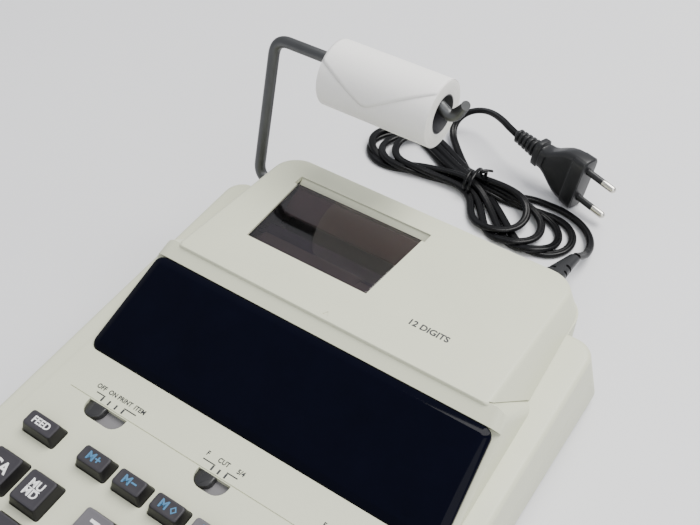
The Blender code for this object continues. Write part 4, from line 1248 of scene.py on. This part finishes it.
def make_flap():
    """The roll's loose end: the outermost turn, trimmed to a point that hangs down its front."""
    points = []
    columns = 44
    tip_x, tip, left, right = -34.0, 184.0, 133.0, 117.0
    for i in range(columns + 1):
        x = ROLL_X[0] + 0.3 + (ROLL_X[1] - ROLL_X[0] - 0.6) * i / columns
        if x < tip_x:
            end = left + (tip - left) * (x - ROLL_X[0]) / (tip_x - ROLL_X[0])
        else:
            end = right + (tip - right) * (ROLL_X[1] - x) / (ROLL_X[1] - tip_x)
        end -= 2.5 * math.exp(-((x - tip_x) / 1.2) ** 2)
        points.append([(x, math.radians(-150 + (end + 150) * k / 40), 0.03 + 0.17 * min(1.0, k / 8))
                       for k in range(41)])
    work = bmesh.new()
    grid = [[work.verts.new(place((x, ROLL[0] + (15.6 + lift) * math.cos(a), ROLL[1] + (15.6 + lift) * math.sin(a))))
             for x, a, lift in row] for row in points]
    for a, b in zip(grid, grid[1:]):
        for k in range(40):
            work.faces.new((a[k], a[k + 1], b[k + 1], b[k]))
    bmesh.ops.recalc_face_normals(work, faces=work.faces)
    mesh = bpy.data.meshes.new("roll_loose_end")
    work.to_mesh(mesh)
    work.free()
    shade(mesh, 60)
    flap = link("roll_loose_end", mesh)
    thick = flap.modifiers.new("sheet", "SOLIDIFY")
    thick.thickness = 0.10 * MM
    thick.offset = 1.0
    bake_modifiers(flap)
    dress(flap, PAPER, "roll", ())


def filleted(corners, radius, steps=10):
    points = [Vector(corners[0])]
    for before, here, after in zip(corners, corners[1:], corners[2:]):
        here = Vector(here)
        back, ahead = (Vector(before) - here).normalized(), (Vector(after) - here).normalized()
        reach = radius / math.tan(back.angle(ahead) / 2)
        start, end = here + back * reach, here + ahead * reach
        for i in range(steps + 1):
            t = i / steps
            points.append(start * (1 - t) ** 2 + here * 2 * t * (1 - t) + end * t ** 2)
    points.append(Vector(corners[-1]))
    return points


def round_sweep(name, line, radii, count=28):
    """A round rod along a line with a parallel-carried frame; radii gives (across, up) at each point."""
    rings = []
    side = None
    for i, point in enumerate(line):
        ahead = (Vector(line[min(i + 1, len(line) - 1)]) - Vector(line[max(i - 1, 0)])).normalized()
        if side is None:
            side = ahead.cross(Vector((0, 0.2, 1))).normalized()
        side = (side - ahead * side.dot(ahead)).normalized()
        up = side.cross(ahead)
        across, tall = radii(i)
        rings.append([Vector(point) + side * across * math.cos(a) + up * tall * math.sin(a)
                      for a in (2 * math.pi * k / count for k in range(count))])
    return loft(name, rings, 50)


ARM_END = -6.0
HOLDER_HOOK = ((3.0, 0.0, -2.7), (5.5, 0.0, -4.4), (7.6, 0.2, -4.8),   # from the arm's end
               (9.6, 1.0, -3.5), (11.4, 1.6, -1.0), (12.8, 2.0, 1.6))


def make_holder():
    low, x = (306.5, 46.0), -93.3
    corners = [(-52.0, *low), (x, *low), (x, *ARM), (-6.0, *ARM)]
    shaft = filleted(corners, 8.0)
    hook = smooth_route([(ARM_END + a, ARM[0] + b, ARM[1] + c) for a, b, c in HOLDER_HOOK], 0.8)
    line = shaft + [Vector(p) for p in hook]
    total = len(line)

    def radii(i):
        """Round wire, pressed flatter over its last stretch."""
        near_end = min(1.0, max(0.0, (i - (total - 8)) / 6))
        return (WIRE_R + 0.9 * near_end, WIRE_R - 0.7 * near_end)

    holder = round_sweep("wire_holder", line, radii)
    dress(holder, WIRE, "holder", ("roll_holder",))


make_roll()
make_flap()
make_holder()


# ================================================================ pieces kept from the CAD
def finish_node(name, material, width=0.0):
    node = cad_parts[name]
    node.data.materials.clear()
    node.data.materials.append(material)
    for face in node.data.polygons:
        face.material_index = 0
    if width:
        round_edges(node, width, 2, 35, bake=False)


for foot in ("foot_front_left", "foot_front_right", "foot_rear_left", "foot_rear_right"):
    finish_node(foot, RUBBER)
for inner, cover_material in (("main_board", BOARD), ("key_board", BOARD), ("display_tube", GLASS),
                              ("transformer", COPPER), ("ac_inlet", MOULDED), ("printer_frame", STEEL),
                              ("printer_motor", STEEL), ("type_drum", DARK_STEEL), ("ink_roller", INK_FOAM),
                              ("platen_roller", RUBBER), ("motor_pinion", ACETAL)):
    finish_node(inner, cover_material)
